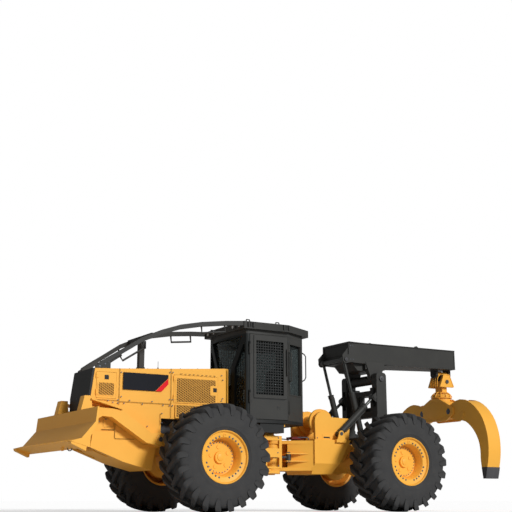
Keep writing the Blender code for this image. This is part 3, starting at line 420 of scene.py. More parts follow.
LUGS = 22
PITCH = 2 * math.pi / LUGS
TYRE_R = 0.925
BEAD_R = 0.4338
WHEEL_Y = 1.215
# Where the first lug starts, in pitches
LUG_START = 0.15
# Rounding of a lug's top, and its half width at the top and the foot in shares of the middle one
LUG_CORNER = 0.010
LUG_TOP = 0.88
LUG_FOOT = 1.22
# across, radius: half of the carcass from the middle of the tread to the bead
CARCASS = ((0.0, 0.857), (0.12, 0.856), (0.24, 0.850), (0.31, 0.842), (0.34, 0.826), (0.357, 0.80),
           (0.368, 0.765), (0.377, 0.72), (0.3845, 0.67), (0.3870, 0.62), (0.3865, 0.57), (0.3825, 0.525),
           (0.3845, 0.518), (0.3835, 0.506), (0.378, 0.500), (0.371, 0.470), (0.366, 0.452), (0.358, 0.440),
           (0.352, BEAD_R))
# across, top radius, base across, base radius, lead in pitches, half width in pitches
LUG = ((-0.045, 0.9235, -0.045, 0.846, -0.05, 0.15), (0.03, 0.925, 0.03, 0.846, 0.07, 0.16),
       (0.14, 0.924, 0.14, 0.845, 0.33, 0.175), (0.24, 0.919, 0.24, 0.838, 0.56, 0.185),
       (0.32, 0.911, 0.31, 0.825, 0.75, 0.195), (0.352, 0.903, 0.325, 0.80, 0.84, 0.20),
       (0.370, 0.884, 0.338, 0.785, 0.90, 0.205), (0.380, 0.850, 0.345, 0.77, 0.94, 0.21),
       (0.3855, 0.800, 0.350, 0.75, 0.965, 0.215), (0.3873, 0.750, 0.358, 0.72, 0.975, 0.20),
       (0.3872, 0.708, 0.366, 0.70, 0.98, 0.13))
# out from the wheel's middle, radius
RIM = ((0.10, 0.001), (0.10, 0.384), (-0.33, 0.404), (-0.345, 0.412), (-0.350, 0.440), (-0.358, 0.449),
       (-0.363, 0.440), (-0.355, 0.4325), (-0.30, 0.4315), (0.30, 0.4315), (0.349, 0.4325), (0.360, 0.441),
       (0.369, 0.449), (0.374, 0.442), (0.366, 0.430), (0.345, 0.424), (0.334, 0.418), (0.331, 0.410),
       (0.331, 0.345), (0.327, 0.335), (0.315, 0.324), (0.150, 0.297), (0.138, 0.292), (0.135, 0.286),
       (0.135, 0.001))
HUB_FACE = ((0.13, 0.275), (0.152, 0.273), (0.156, 0.268), (0.156, 0.001))
HUB_CAP = ((0.15, 0.105), (0.19, 0.103), (0.196, 0.098), (0.196, 0.066), (0.204, 0.062), (0.208, 0.054),
           (0.208, 0.001))
HUB_BOSS = ((0.15, 0.036), (0.164, 0.035), (0.167, 0.032), (0.167, 0.001))
BOSSES = 5
HUB_BOLTS = 28
# Rim bolts stand in groups at the four diagonals
BOLT_GROUPS = 4
GROUP_BOLTS = 6
GROUP_STEP_DEG = 11.5


def on_wheel(centre, out, radius, angle):
    """A point at a distance along a wheel's axis, and at a radius and an angle about it."""
    return Vector((centre.x + radius * math.cos(angle), centre.y + out, centre.z + radius * math.sin(angle)))


def tyre(centre, side):
    """A bias forestry tyre: a carcass and staggered bars that run down over the shoulder."""
    shape = Shape()
    rows = [(-y, r) for y, r in reversed(CARCASS)] + list(CARCASS[1:])
    rows += [(0.30, BEAD_R), (-0.30, BEAD_R)]
    rings = [[on_wheel(centre, side * y, r, a) for y, r in rows] for a in turns(LUGS * 6)]
    shape.loft(rings, closed=True)
    for half, offset in ((-1, 0.0), (1, 0.5)):
        for lug in range(LUGS):
            rings = []
            for y, top, foot_y, foot, lead, width in LUG:
                middle = -math.pi / 2 + PITCH * (lug + LUG_START + offset + lead)
                w = width * PITCH
                inset = y - LUG_CORNER * 0.4
                corners = (
                    (foot_y, foot, -w * LUG_FOOT),
                    (y, top - LUG_CORNER, -w),
                    (inset, top, -w * LUG_TOP),
                    (inset, top, w * LUG_TOP),
                    (y, top - LUG_CORNER, w),
                    (foot_y, foot, w * LUG_FOOT),
                )
                rings.append([on_wheel(centre, side * half * out, r, middle + a) for out, r, a in corners])
            shape.loft(rings)
    return shape


def rim(centre, side):
    """A dished rim with its flange, hub face, cap, bosses and lifting eye."""
    out = (0, side, 0)
    shape = Shape().turned(centre, out, RIM)
    shape.turned(centre, out, HUB_FACE)
    shape.turned(centre, out, HUB_CAP, 48)
    for angle in turns(BOSSES, 0.15):
        shape.turned(on_wheel(centre, 0, 0.175, angle), out, HUB_BOSS, 24)
    eye = centre + Vector((0, 0, 0.362))
    hook = [on_wheel(eye, side * 0.336, 0.022, math.radians(-60 + 30 * i)) for i in range(9)]
    return shape.tube(hook, 0.007, 8)


def rim_bolts(centre, side):
    shape = Shape()
    out = (0, side, 0)
    for group in range(BOLT_GROUPS):
        for i in range(GROUP_BOLTS):
            angle = math.radians(45 + 90 * group + (i - 2.5) * GROUP_STEP_DEG)
            shape.bolt(on_wheel(centre, side * 0.330, 0.352, angle), out, 0.0125)
    for angle in turns(HUB_BOLTS):
        shape.bolt(on_wheel(centre, side * 0.155, 0.254, angle), out, 0.0085)
    return shape


def wheels():
    for end, side_name in WHEELS:
        side = dict(SIDES)[side_name]
        centre = Vector((AXLE_X if end == "front" else -AXLE_X, side * WHEEL_Y, TYRE_R))
        body = f"{end}_wheel_{side_name}"
        made = piece(f"{end}_tyre_tread_{side_name}", body, RUBBER, tyre(centre, side), smooth=40)
        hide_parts(f"{end}_tyre_{side_name}")
        made = piece(f"{end}_rim_dish_{side_name}", body, YELLOW_PLAIN, rim(centre, side))
        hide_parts(f"{end}_rim_{side_name}")
        piece(f"{end}_rim_bolts_{side_name}", body, BOLT, rim_bolts(centre, side))


# Small shapes shared by the areas below

SLAT_PITCH = 0.036
SLAT_THICK = 0.001
# lean in degrees, width
SLATS = ((32, 0.013), (-32, 0.013 / 3), (89.9, 0.013 / 2))


def lattice(y, low, high):
    """Crossing slats on a side panel, cut off at a window's edges."""
    shape = Shape()
    x0, z0, x1, z1 = *low, *high
    middle = Vector(((x0 + x1) / 2, (z0 + z1) / 2))
    reach = math.hypot(x1 - x0, z1 - z0) / 2
    count = int(reach / SLAT_PITCH) + 1
    for layer, (lean, width) in enumerate(SLATS):
        run = Vector((math.cos(math.radians(lean)), math.sin(math.radians(lean))))
        step = Vector((-run.y, run.x))
        half = step * width / 2
        foot = y + layer * SLAT_THICK
        for i in range(-count, count + 1):
            start = middle + step * SLAT_PITCH * i
            near, far = -reach, reach
            for at, along, least, most in ((start.x, run.x, x0, x1), (start.y, run.y, z0, z1)):
                a, b = sorted(((least - at) / along, (most - at) / along))
                near, far = max(near, a), min(far, b)
            if far - near < SLAT_PITCH:
                continue
            outline = [start + run * near - half, start + run * far - half,
                       start + run * far + half, start + run * near + half]
            shape.prism("Y", outline, foot, foot + SLAT_THICK)
    return shape


def gland(base, eye, length, radius):
    """The screwed head of a cylinder, and a collar near the barrel's base."""
    shape = Shape()
    base, eye = Vector(base), Vector(eye)
    along = (eye - base).normalized()
    mouth = base + along * length
    shape.round(mouth - along * 0.075, mouth - along * 0.004, radius + 0.008, 28)
    shape.round(mouth - along * 0.020, mouth - along * 0.008, radius + 0.013, 28)
    shape.round(base + along * 0.085, base + along * 0.12, radius + 0.006, 28)
    return shape


def pin_cap(centre, radius, height=0.012):
    """A pin's round end on the left side, with a bolt on it."""
    centre, out = Vector(centre), Vector(OUT)
    profile = ((-0.002, radius), (height * 0.7, radius), (height, radius * 0.9), (height, 0.001))
    return Shape().turned(centre, out, profile, 32).bolt(centre + out * height, out, radius * 0.26)


# Hood

HOOD_TOP = ((3.95, 2.43), (3.5, 2.45), (2.5, 2.51), (1.28, 2.59))
# along, height of each bolt on the hood's side
HOOD_BOLTS = (
    (3.467, 2.386), (3.458, 1.962), (3.518, 1.903), (3.518, 1.848), (3.404, 1.850), (3.299, 1.904),
    (3.056, 1.850), (2.870, 1.904), (2.655, 1.850), (2.674, 1.705), (2.674, 1.544), (2.527, 1.958),
    (2.470, 1.958), (2.527, 1.850), (2.470, 1.850), (2.527, 2.443), (2.470, 2.443), (1.472, 2.450),
    (1.450, 2.368), (1.450, 2.027), (1.472, 1.985), (3.728, 1.560), (3.611, 1.857), (3.700, 1.883),
    (3.85, 1.52), (3.24, 1.47), (2.95, 1.47),
)
# rear, front, bottom, top of each straight seam on the hood's side
HOOD_SEAMS = (
    (3.491, 3.499, 1.82, 2.447), (2.496, 2.504, 1.63, 2.507), (2.504, 3.491, 1.872, 1.880),
    (3.499, 3.95, 1.888, 1.895), (2.70, 2.708, 1.50, 1.70), (3.553, 3.562, 1.266, 1.50),
    (3.19, 3.531, 1.235, 1.244), (3.565, 3.80, 1.382, 1.396),
)
# The side's dark field and the slash behind it
FIELD = ((3.43, 2.39), (2.56, 2.39), (2.56, 2.334), (2.815, 2.09), (3.43, 2.09))
SLASH = ((2.56, 2.326), (2.56, 2.222), (2.687, 2.09), (2.807, 2.09))
# bottom, top, radius, facets
MAST = ((2.49, 2.515, 0.018, 16), (2.51, 2.535, 0.009, 12), (2.53, 2.64, 0.004, 8))


def hood_height(x):
    for (x1, z1), (x0, z0) in zip(HOOD_TOP, HOOD_TOP[1:]):
        if x0 <= x <= x1:
            return z0 + (z1 - z0) * (x - x0) / (x1 - x0)
    return HOOD_TOP[-1][1]


def hood_seams():
    low, high = HOOD_Y - SUNK, HOOD_Y + SEAM_OUT
    seams = Shape()
    for x0, x1, z0, z1 in HOOD_SEAMS:
        seams.box((x0, low, z0), (x1, high, z1))
    for x in (3.495, 2.50):
        top = hood_height(x)
        seams.box((x - 0.003, 0, top - 0.003), (x + 0.003, HOOD_Y, top + MARK_OUT))
    outer = rounded(3.580, 1.432, 3.775, 1.570, 0.03)
    inner = rounded(3.584, 1.436, 3.771, 1.566, 0.026)
    seams.frame("Y", outer, inner, low, high)
    bend = arc((3.531, 1.266), 0.031, -90, 0, 5) + arc((3.531, 1.266), 0.022, 0, -90, 5)
    seams.prism("Y", bend, low, high)
    piece("hood_seams", "chassis", SEAM, seams.mirror())


def hood_trim():
    y = HOOD_Y
    dashes = Shape()
    for i in range(9):
        x = 1.60 + 0.085 * i
        dashes.prism("Y", rounded(x, 2.424, x + 0.045, 2.432, 0.003, 2), y - SUNK, y + MARK_OUT)
    dashes.box((3.752, y - SUNK, 1.585), (3.776, y + SUNK, 1.652))
    piece("hood_slots", "chassis", BLACK, dashes.mirror())
    bolts = Shape().bolts([(x, y, z) for x, z in HOOD_BOLTS], OUT, 0.0085)
    top = [(x, y - 0.05, hood_height(x) - 0.001) for x in (3.75, 3.30, 2.95, 2.30, 1.95, 1.55)]
    bolts.bolts(top, UP, 0.009)
    piece("hood_bolts", "chassis", BOLT, bolts.mirror())
    field = Shape().prism("Y", FIELD, y - SUNK, y + MARK_OUT)
    piece("hood_decal", "chassis", DECAL, field.mirror())
    slash = Shape().prism("Y", SLASH, y - SUNK, y + MARK_OUT)
    piece("hood_slash", "chassis", RED, slash.mirror())
    mast = Shape()
    for z0, z1, radius, facets in MAST:
        mast.round((2.705, 0.33, z0), (2.705, 0.33, z1), radius, facets)
    piece("hood_mast", "chassis", BLACK, mast)


# Rear bottom and front top corner of the opening under the rear door
GRILLE = ((1.60, 1.655), (2.39, 1.865))
# door, rear bottom and front top corner of its window, middle of its latch
HOOD_DOORS = (
    ("front_hood_door", (3.595, 1.975), (3.875, 2.185), (3.734, 2.284)),
    ("rear_hood_door", (1.595, 1.925), (2.385, 2.350), (1.606, 2.173)),
)


def lower_grille():
    low, high = GRILLE
    back = Shape().box((low[0], HOOD_Y - SUNK, low[1]), (high[0], HOOD_Y + MARK_OUT, high[1]))
    piece("hood_grille_back", "chassis", BEHIND, back.mirror())
    piece("hood_grille", "chassis", SCREEN, lattice(HOOD_Y + SCREEN_OUT, low, high).mirror())
    outer = rounded(low[0] - 0.025, low[1] - 0.020, high[0] + 0.025, high[1] + 0.020, 0.02)
    edge = Shape().frame("Y", outer, rounded(*low, *high, 0.012), HOOD_Y - SUNK, HOOD_Y + RIM_OUT)
    piece("hood_grille_rim", "chassis", YELLOW_PLAIN, edge.mirror())


def hood_doors():
    y = HOOD_DOOR_Y
    for name, low, high, (x, z) in HOOD_DOORS:
        outer = rounded(low[0] - 0.024, low[1] - 0.014, high[0] + 0.024, high[1] + 0.022, 0.03)
        inner = rounded(*low, *high, 0.018)
        for side_name, side in SIDES:
            body = f"{name}_{side_name}"
            back = Shape().box((low[0], y - SUNK, low[1]), (high[0], y + MARK_OUT, high[1]))
            piece(f"{body}_back", body, BEHIND, back.flipped(side))
            net = lattice(y + SCREEN_OUT, low, high)
            piece(f"{body}_mesh", body, SCREEN, net.flipped(side))
            edge = Shape().frame("Y", outer, inner, y - SUNK, y + RIM_OUT)
            if name == "rear_hood_door":
                edge.prism("Y", rounded(1.585, 2.07, 1.70, 2.25, 0.03), y, y + 0.0048)
            piece(f"{body}_edge", body, YELLOW_PLAIN, edge.flipped(side))
            lock = Shape()
            for half_x, half_z, corner, out in ((0.038, 0.038, 0.008, 0.0075), (0.022, 0.018, 0.006, 0.011)):
                lock.prism("Y", rounded(x - half_x, z - half_z, x + half_x, z + half_z, corner), y, y + out)
            piece(f"{body}_latch", body, BLACK, lock.flipped(side), bevel=0.001)


def guard_trim():
    spots = ((0.415, 1.42), (0.415, 1.62), (0.415, 1.82), (0.415, 1.94), (0.10, 1.94), (0.32, 1.94))
    bolts = Shape().bolts([(4.05, y, z) for y, z in spots], AHEAD, 0.010)
    piece("guard_bolts", "chassis", BOLT, bolts.mirror())
    bars = Shape()
    for i in range(3):
        z = 1.455 + 0.11 * i
        bars.box((4.035, -0.175, z - 0.004), (4.044, 0.175, z + 0.004))
    piece("guard_bars", "chassis", BLACK, bars)


# Limb risers and cab

RISER_LOOPS = (
    ((1.55, 0.6934, 3.378), (1.533, 0.6934, 3.229), (1.983, 0.6367, 3.178), (2.0, 0.6367, 3.327)),
    ((3.15, 0.4919, 2.948), (3.074, 0.4919, 2.830), (3.444, 0.4453, 2.591), (3.52, 0.4453, 2.7085)),
)


def riser_trim():
    spots = ((3.763, 2.520), (3.700, 2.565), (3.86, 2.47), (3.62, 2.66))
    bolts = Shape().bolts([(x, 0.4345, z) for x, z in spots], OUT, 0.011)
    piece("riser_bolts", "chassis", BOLT, bolts.mirror())
    loops = Shape()
    for path in RISER_LOOPS:
        loops.tube(path, 0.019)
    piece("riser_loops", "chassis", DARK_PLAIN, loops.mirror())
    foot = Shape().box((2.835, -0.075, 2.489), (2.965, 0.075, 2.515))
    foot.box((2.840, -0.062, 2.50), (2.960, 0.062, 2.56))
    piece("riser_post_foot", "chassis", BLACK, foot, bevel=0.003)
    clip = Shape().box((2.822, -0.05, 2.90), (2.842, 0.05, 3.04))
    piece("riser_post_clip", "chassis", BLACK, clip, bevel=0.002)


# The square grid in a cab door's window
GRID_X = (0.288, 0.886)
GRID_Z = (2.118, 3.120)
COLUMNS, ROWS = 11, 20
# The dark notch under the window
DOOR_NOTCH = ((0.400, 1.912), (0.438, 1.912), (0.416, 1.878), (0.438, 1.845), (0.430, 1.845), (0.404, 1.878))
# Front and rear end of the cab's slanted rear quarter, seen from above
QUARTER_FRONT = Vector((0.19, 0.72))
QUARTER_REAR = Vector((-0.35, 0.41))


def quarter(along, out, z):
    """A point on the cab's slanted rear quarter."""
    run = (QUARTER_REAR - QUARTER_FRONT).normalized()
    x = QUARTER_FRONT.x + run.x * along + run.y * out
    return Vector((x, QUARTER_FRONT.y + run.y * along - run.x * out, z))


def quarter_plate(shape, low, high, out_low, out_high):
    corners = rectangle(*low, *high)
    return shape.loft([[quarter(along, out, z) for along, z in corners] for out in (out_low, out_high)])


def cab_doors_trim():
    x0, x1 = GRID_X
    z0, z1 = GRID_Z
    for side_name, side in SIDES:
        body = f"cab_door_{side_name}"
        net = Shape()
        for i in range(1, COLUMNS):
            x = x0 + (x1 - x0) * i / COLUMNS
            net.box((x - 0.008, 0.708, z0 - 0.01), (x + 0.008, 0.714, z1 + 0.01))
        for i in range(1, ROWS):
            z = z0 + (z1 - z0) * i / ROWS
            net.box((x0 - 0.01, 0.7135, z - 0.0075), (x1 + 0.01, 0.719, z + 0.0075))
        piece(f"{body}_grid", body, BLACK, net.flipped(side))
        edge = Shape().frame("Y", rounded(0.207, 2.052, 0.938, 3.224, 0.015), rounded(x0, z0, x1, z1, 0.012),
                             DOOR_Y - 0.016, DOOR_Y + 0.012)
        piece(f"{body}_frame", body, DARK_PLAIN, edge.flipped(side), bevel=0.003)
        # Black strips painted as shadow gaps along the window frame's front and bottom edges, together with
        # the real latch slot and the notch under the window
        dark = Shape()
        for outline in (rectangle(0.939, 2.06, 0.948, 3.21), rectangle(0.262, 2.030, 0.940, 2.0515),
                        rounded(0.365, 1.845, 0.375, 1.912, 0.004), DOOR_NOTCH):
            dark.prism("Y", outline, DOOR_Y - SUNK, DOOR_Y + SUNK)
        piece(f"{body}_slots", body, BLACK, dark.flipped(side))


# along, up
GRIP = ((-0.340, 3.03), (-0.425, 2.99), (-0.455, 2.95), (-0.455, 2.54), (-0.425, 2.49), (-0.340, 2.44))


def quarter_trim():
    cut = quarter_plate(Shape(), (0.033, 1.81), (0.067, 2.03), -SUNK, 0.0015)
    arrow = ((0.010, 1.815), (0.090, 1.815), (0.050, 1.750))
    cut.loft([[quarter(along, out, z) for along, z in arrow] for out in (-SUNK, 0.0015)])
    piece("cab_quarter_slots", "chassis", BLACK, cut.mirror())
    edge = Shape()
    for low, high in (((0.055, 2.135), (0.575, 2.16)), ((0.055, 3.11), (0.575, 3.135)),
                      ((0.055, 2.16), (0.090, 3.11)), ((0.540, 2.16), (0.575, 3.11))):
        quarter_plate(edge, low, high, -SUNK, 0.008)
    piece("cab_quarter_frames", "chassis", DARK_PLAIN, edge.mirror(), bevel=0.002)
    grip = Shape().tube([(x, 0.37, z) for x, z in GRIP], 0.011)
    piece("cab_grips", "chassis", BLACK, grip.mirror())


# rear, front, inner and outer side of each lamp's box at the roof's ends
LAMP_BOXES = ((1.165, 1.196, 0.30, 0.46), (1.165, 1.196, 0.55, 0.69), (-0.505, -0.475, 0.12, 0.34))
ROOF_LOW = 3.352
# Middle of each pocket in the roof's side
POCKETS_X = (0.26, 1.04)
LAMP = ((0.0, 0.034), (0.006, 0.033), (0.010, 0.024), (0.011, 0.001))


def roof_trim():
    lips = Shape()
    slits = Shape()
    for x in POCKETS_X:
        for x0, x1 in ((x - 0.066, x - 0.042), (x + 0.042, x + 0.066)):
            lips.box((x0, 0.785, ROOF_LOW), (x1, 0.822, 3.448))
        for step in (-0.040, 0.0, 0.040):
            slits.box((x + step - 0.010, 0.790, 3.362), (x + step + 0.010, 0.8045, 3.438))
    for x0, x1, y0, y1 in LAMP_BOXES:
        lips.box((x0, y0, ROOF_LOW), (x1, y1, 3.440))
    piece("roof_pockets", "chassis", DARK_PLAIN, lips.mirror(), bevel=0.003)
    piece("roof_slits", "chassis", BLACK, slits.mirror())
    lamps = Shape()
    for x, y, way in ((1.195, 0.38, 1), (1.195, 0.62, 1), (-0.504, 0.23, -1)):
        lamps.turned((x, y, 3.396), (way, 0, 0), LAMP, 28)
    piece("roof_lamps", "chassis", LENS, lamps.mirror())


def cab_trim():
    spots = ((1.10, 0.72), (0.72, 0.74), (0.24, 0.74), (-0.42, 0.36), (1.10, 0.28), (-0.08, 0.57))
    bolts = Shape().bolts([(x, y, 3.4545) for x, y in spots], UP, 0.010)
    spots = [quarter(0.022, 0.0, z) for z in (1.75, 2.60, 3.15)]
    bolts.bolts(spots, quarter(0, 1, 0) - quarter(0, 0, 0), 0.008)
    piece("cab_bolts", "chassis", BOLT, bolts.mirror())
    mounts = Shape().box((0.325, 0.60, 1.55), (0.375, 0.66, 1.5975))
    mounts.box((0.215, 0.60, 1.55), (0.258, 0.66, 1.5975))
    piece("cab_mounts", "chassis", YELLOW_PLAIN, mounts.mirror(), bevel=0.004)
    wiper = Shape().tube([(1.157, 0.02, 1.90), (1.166, 0.10, 2.28)], 0.005, 8)
    wiper.box((1.157, 0.085, 2.10), (1.164, 0.099, 2.52))
    piece("cab_wiper", "chassis", BLACK, wiper)


# A cut through the seat's back, in x and z
SEAT_BACK = ((0.105, 2.13), (0.175, 2.15), (0.095, 2.66), (0.055, 2.71), (0.028, 2.68))


def seat_trim():
    base = Shape().prism("Z", rounded(0.0, -0.235, 0.47, 0.235, 0.06), 2.055, 2.125)
    back = Shape().prism("Y", SEAT_BACK, -0.215, 0.215)
    for name, shape in (("seat_base_pad", base), ("seat_back_pad", back)):
        made = piece(name, "chassis", VINYL, shape, bevel=0.028)
        made.modifiers["Edges"].segments = 4


# Blade, hitch and winch

# Middle of the blade arms' pins
ARM_PIN = Vector((2.78, 0, 1.24))
ARM_BOSS = ((-0.002, 0.085), (0.012, 0.083), (0.014, 0.080), (0.014, 0.0475), (-0.002, 0.0475))
# A cut through the strip along the blade's edge, in x and z
WEAR_STRIP = ((4.69, 1.110), (4.715, 1.1185), (4.60, 1.151), (4.575, 1.158), (4.573, 1.150))


def blade_trim():
    caps = pin_cap(ARM_PIN + Vector((0, 0.68, 0)), 0.040, 0.010)
    piece("arm_pins", "chassis", IRON, caps.mirror())
    rings = Shape().turned(ARM_PIN + Vector((0, 0.66, 0)), OUT, ARM_BOSS, 40)
    piece("arm_bosses", "blade", YELLOW_PLAIN, rings.mirror())
    hook = []
    for i in range(11):
        angle = math.radians(160 + 22 * i)
        hook.append((4.475 + 0.036 * math.cos(angle), 0.80, 1.035 + 0.036 * math.sin(angle)))
    piece("blade_shackle", "blade", IRON, Shape().tube(hook, 0.009))
    lug = Shape().prism("X", [(0.52, 1.08), (0.61, 1.08), (0.595, 1.005), (0.535, 1.005)], 4.50, 4.53)
    piece("blade_lug", "blade", YELLOW_PLAIN, lug, bevel=0.003)
    bolts = Shape().bolts([(4.66, 0.10 + 0.20 * i, 1.1285) for i in range(7)], (0.28, 0, 0.96), 0.012)
    piece("blade_edge_bolts", "blade", YELLOW_PLAIN, bolts.mirror())
    wear = Shape().prism("Y", WEAR_STRIP, 0.02, 1.44)
    piece("blade_edges", "blade", YELLOW_PLAIN, wear.mirror())


HITCH_X = 0.12
HITCH_CAP = ((-0.003, 0.085), (0.012, 0.084), (0.018, 0.076), (0.018, 0.001))
STEER_PIN = ((-0.002, 0.042), (0.008, 0.041), (0.010, 0.036), (0.010, 0.001))
STEER_EYE = ((-0.002, 0.045), (0.012, 0.044), (0.016, 0.036), (0.016, 0.001))
HITCH_PIPE = (
    (-0.15, 0.20, 1.335), (-0.15, 0.20, 1.375), (-0.18, 0.23, 1.388), (-0.46, 0.36, 1.388),
    (-0.50, 0.37, 1.375), (-0.50, 0.37, 1.345),
)


def hitch_trim():
    caps = Shape().turned((HITCH_X, 0, 1.41), UP, HITCH_CAP, 36)
    for angle in turns(6):
        caps.bolt((HITCH_X + 0.058 * math.cos(angle), 0.058 * math.sin(angle), 1.427), UP, 0.008)
    piece("hitch_cap", "chassis", YELLOW_PLAIN, caps)
    spots = ((0.295, 1.345), (0.31, 1.075), (0.295, 0.835))
    bolts = Shape().bolts([(x, 0.55, z) for x, z in spots], OUT, 0.010)
    piece("hitch_bolts", "chassis", BOLT, bolts.mirror())
    caps = Shape().turned((1.05, 0.36, 1.094), UP, STEER_PIN, 24)
    piece("steer_pins", "chassis", IRON, caps.mirror())
    caps = Shape()
    for z, way in ((1.085, 1), (0.925, -1)):
        caps.turned((-0.04, 0.36, z), (0, 0, way), STEER_EYE, 24)
    piece("steer_eye_pins", "rear", IRON, caps.mirror())
    valve = Shape().box((-0.42, 0.10, 1.3495), (-0.16, 0.30, 1.395))
    piece("hitch_valve", "rear", RED_IRON, valve, bevel=0.006)
    pipes = Shape()
    for _, side in SIDES:
        pipes.tube([(x, side * y, z) for x, y, z in HITCH_PIPE], 0.011)
    piece("hitch_pipes", "rear", BOLT, pipes)


WINCH_SIDE = (
    (0.0, 0.20), (0.0, 0.242), (0.010, 0.250), (0.040, 0.250), (0.050, 0.242), (0.050, 0.18),
    (0.086, 0.16), (0.086, 0.001),
)


def winch_trim():
    cover = Shape().prism("Y", rounded(-0.970, 1.345, -0.770, 1.462, 0.012), 0.4395, 0.4465)
    piece("tower_covers", "rear", YELLOW_PLAIN, cover.mirror(), bevel=0.001)
    slot = Shape().prism("Y", rounded(-0.945, 1.384, -0.800, 1.412, 0.010), 0.446, 0.4475)
    piece("tower_slots", "rear", BLACK, slot.mirror())
    side = Shape().turned((-0.80, 0.295, 1.70), OUT, WINCH_SIDE, 64)
    piece("winch_sides", "rear", YELLOW_PLAIN, side.mirror())
    bolts = Shape().bolts([(x, 0.44, 1.385) for x in (-0.66, -0.95, -1.14, -1.32)], OUT, 0.010)
    piece("winch_bolts", "rear", BOLT, bolts.mirror())


# Cylinders

# Where the grapple hangs
HANG_X = -4.225
# barrel's pin, rod's pin, barrel's length, barrel's radius
LIFT = ((3.75, 0.30, 2.05), (4.13, 0.30, 1.20), 0.78, 0.045)
STEER = ((1.05, 0.36, 1.005), (-0.04, 0.36, 1.005), 0.72, 0.05)
ARCH = ((-1.12, 0.52, 1.47), (-1.965, 0.52, 2.22), 0.86, 0.058)
BOOM = ((-1.80, 0.36, 1.38), (-1.38, 0.36, 2.96), 0.97, 0.052)
GRAB = ((HANG_X, 0.82, 1.95), (HANG_X, -0.82, 1.95), 1.05, 0.06)


def cylinder_trim():
    for side_name, side in SIDES:
        piece(f"steer_head_{side_name}", f"steer_barrel_{side_name}", YELLOW_PLAIN,
              gland(*STEER).flipped(side))
    piece("lift_heads", "lift_barrels", YELLOW_PLAIN, gland(*LIFT).mirror())
    piece("arch_heads", "arch_barrels", DARK_PLAIN, gland(*ARCH).mirror())
    piece("boom_heads", "boom_barrels", DARK_PLAIN, gland(*BOOM).mirror())
    piece("grab_head", "tong_barrel", YELLOW_PLAIN, gland(*GRAB))
    for name, (base, eye, length, radius) in (("arch", ARCH), ("boom", BOOM)):
        base, eye = Vector(base), Vector(eye)
        along = (eye - base).normalized()
        up = along.cross(Vector(OUT)).normalized()
        # distance from the pin, distance from the barrel's axis
        path = [base + along * at + up * out for at, out in (
            (0.14, radius * 0.9), (0.15, radius + 0.018), (length - 0.07, radius + 0.018),
            (length - 0.05, radius + 0.004))]
        pipe = Shape().tube(path, 0.009, 8)
        piece(f"{name}_pipes", f"{name}_barrels", DARK_PLAIN, pipe.mirror())


# Arch, boom and grapple

def arch_trim():
    caps = pin_cap((-2.13, 0.614, 2.60), 0.055)
    piece("boom_pin_caps", "arch", IRON, caps.mirror())
    caps = pin_cap((-2.0, 0.609, 1.22), 0.060)
    foot = pin_cap((-1.12, 0.599, 1.47), 0.036)
    caps.add(foot.points, foot.faces)
    piece("arch_pin_caps", "rear", IRON, caps.mirror())
    edge = Shape().box((-2.258, 0.455, 1.88), (-2.249, 0.585, 2.58))
    piece("arch_straps", "arch", DARK_PLAIN, edge.mirror(), bevel=0.002)


# Where the boom's top turns level towards its front, and its height there
BOOM_BEND_X = -1.75
BOOM_TOP = 3.31
BOOM_TIP_X = -4.45
# Lowest place of the front end's frame, above the rods' eyes
FRONT_BAR_Z = 3.07


def boom_section(x):
    """Half width, bottom and top of the boom at one place."""
    t = (BOOM_BEND_X - x) / (BOOM_BEND_X - BOOM_TIP_X)
    return 0.425 - 0.205 * t, 2.905 + 0.075 * t, BOOM_TOP + 0.06 * t


def crosswise(x, half, low, high):
    """Corners of an upright rectangle across the machine."""
    return [(x, y, z) for y, z in rectangle(-half, low, half, high)]


def boom_trim():
    top, bottom = [], []
    for x in (-1.445, BOOM_BEND_X, BOOM_TIP_X):
        half, _, high = boom_section(x)
        high = max(high, BOOM_TOP)
        top.append(crosswise(x, half + 0.018, high - 0.004, high + 0.014))
    for x in (-2.45, -2.78, BOOM_TIP_X):
        half, low, _ = boom_section(x)
        bottom.append(crosswise(x, half + 0.016, low - 0.012, low + 0.004))
    plates = Shape().loft(top).loft(bottom)
    piece("boom_flanges", "boom", DARK_PLAIN, plates, bevel=0.002)
    ribs = Shape()
    for x, least, thick in ((-1.449, FRONT_BAR_Z, 0.012), (-4.4485, 0.0, 0.020)):
        half, low, high = boom_section(x)
        low = max(low, least)
        outer = rectangle(-half - 0.010, low, half + 0.010, high)
        inner = rectangle(-half + 0.03, low + 0.04, half - 0.03, high - 0.03)
        ribs.frame("X", outer, inner, x - 0.0012, x + thick)
    piece("boom_end_frames", "boom", DARK_PLAIN, ribs)
    caps = pin_cap((-1.38, 0.447, 2.96), 0.036)
    piece("boom_rod_pins", "boom", IRON, caps.mirror())
    bolts = Shape().bolts([(x, 0.4305, z) for x in (-1.50, -1.56) for z in (2.97, 3.24)], OUT, 0.009)
    piece("boom_bolts", "boom", BOLT, bolts.mirror())


def strap(shape, y, path, width, thick):
    """A flat bar bent in the XZ plane."""
    path = [Vector((x, 0, z)) for x, z in path]
    left, right = Vector((0, y + width / 2, 0)), Vector((0, y - width / 2, 0))
    rings = []
    for i, point in enumerate(path):
        along = heading(path, i)
        out = Vector((-along.z, 0, along.x)) * thick / 2
        rings.append([point + out + right, point + out + left, point - out + left, point - out + right])
    return shape.loft(rings)


def hung(way, path):
    """A path of (distance from the hanging axis, height), on its front side for 1 and its rear for -1."""
    return [(HANG_X + way * x, z) for x, z in path]


CROSSHEAD_STRAP = ((0.07, 2.845), (0.135, 2.835), (0.178, 2.79), (0.195, 2.72), (0.200, 2.65), (0.205, 2.59))
CROSSHEAD_RIM = (
    (-0.185, 2.60), (-0.142, 2.70), (-0.098, 2.80), (-0.085, 2.845),
    (0.085, 2.845), (0.098, 2.80), (0.142, 2.70), (0.185, 2.60),
)


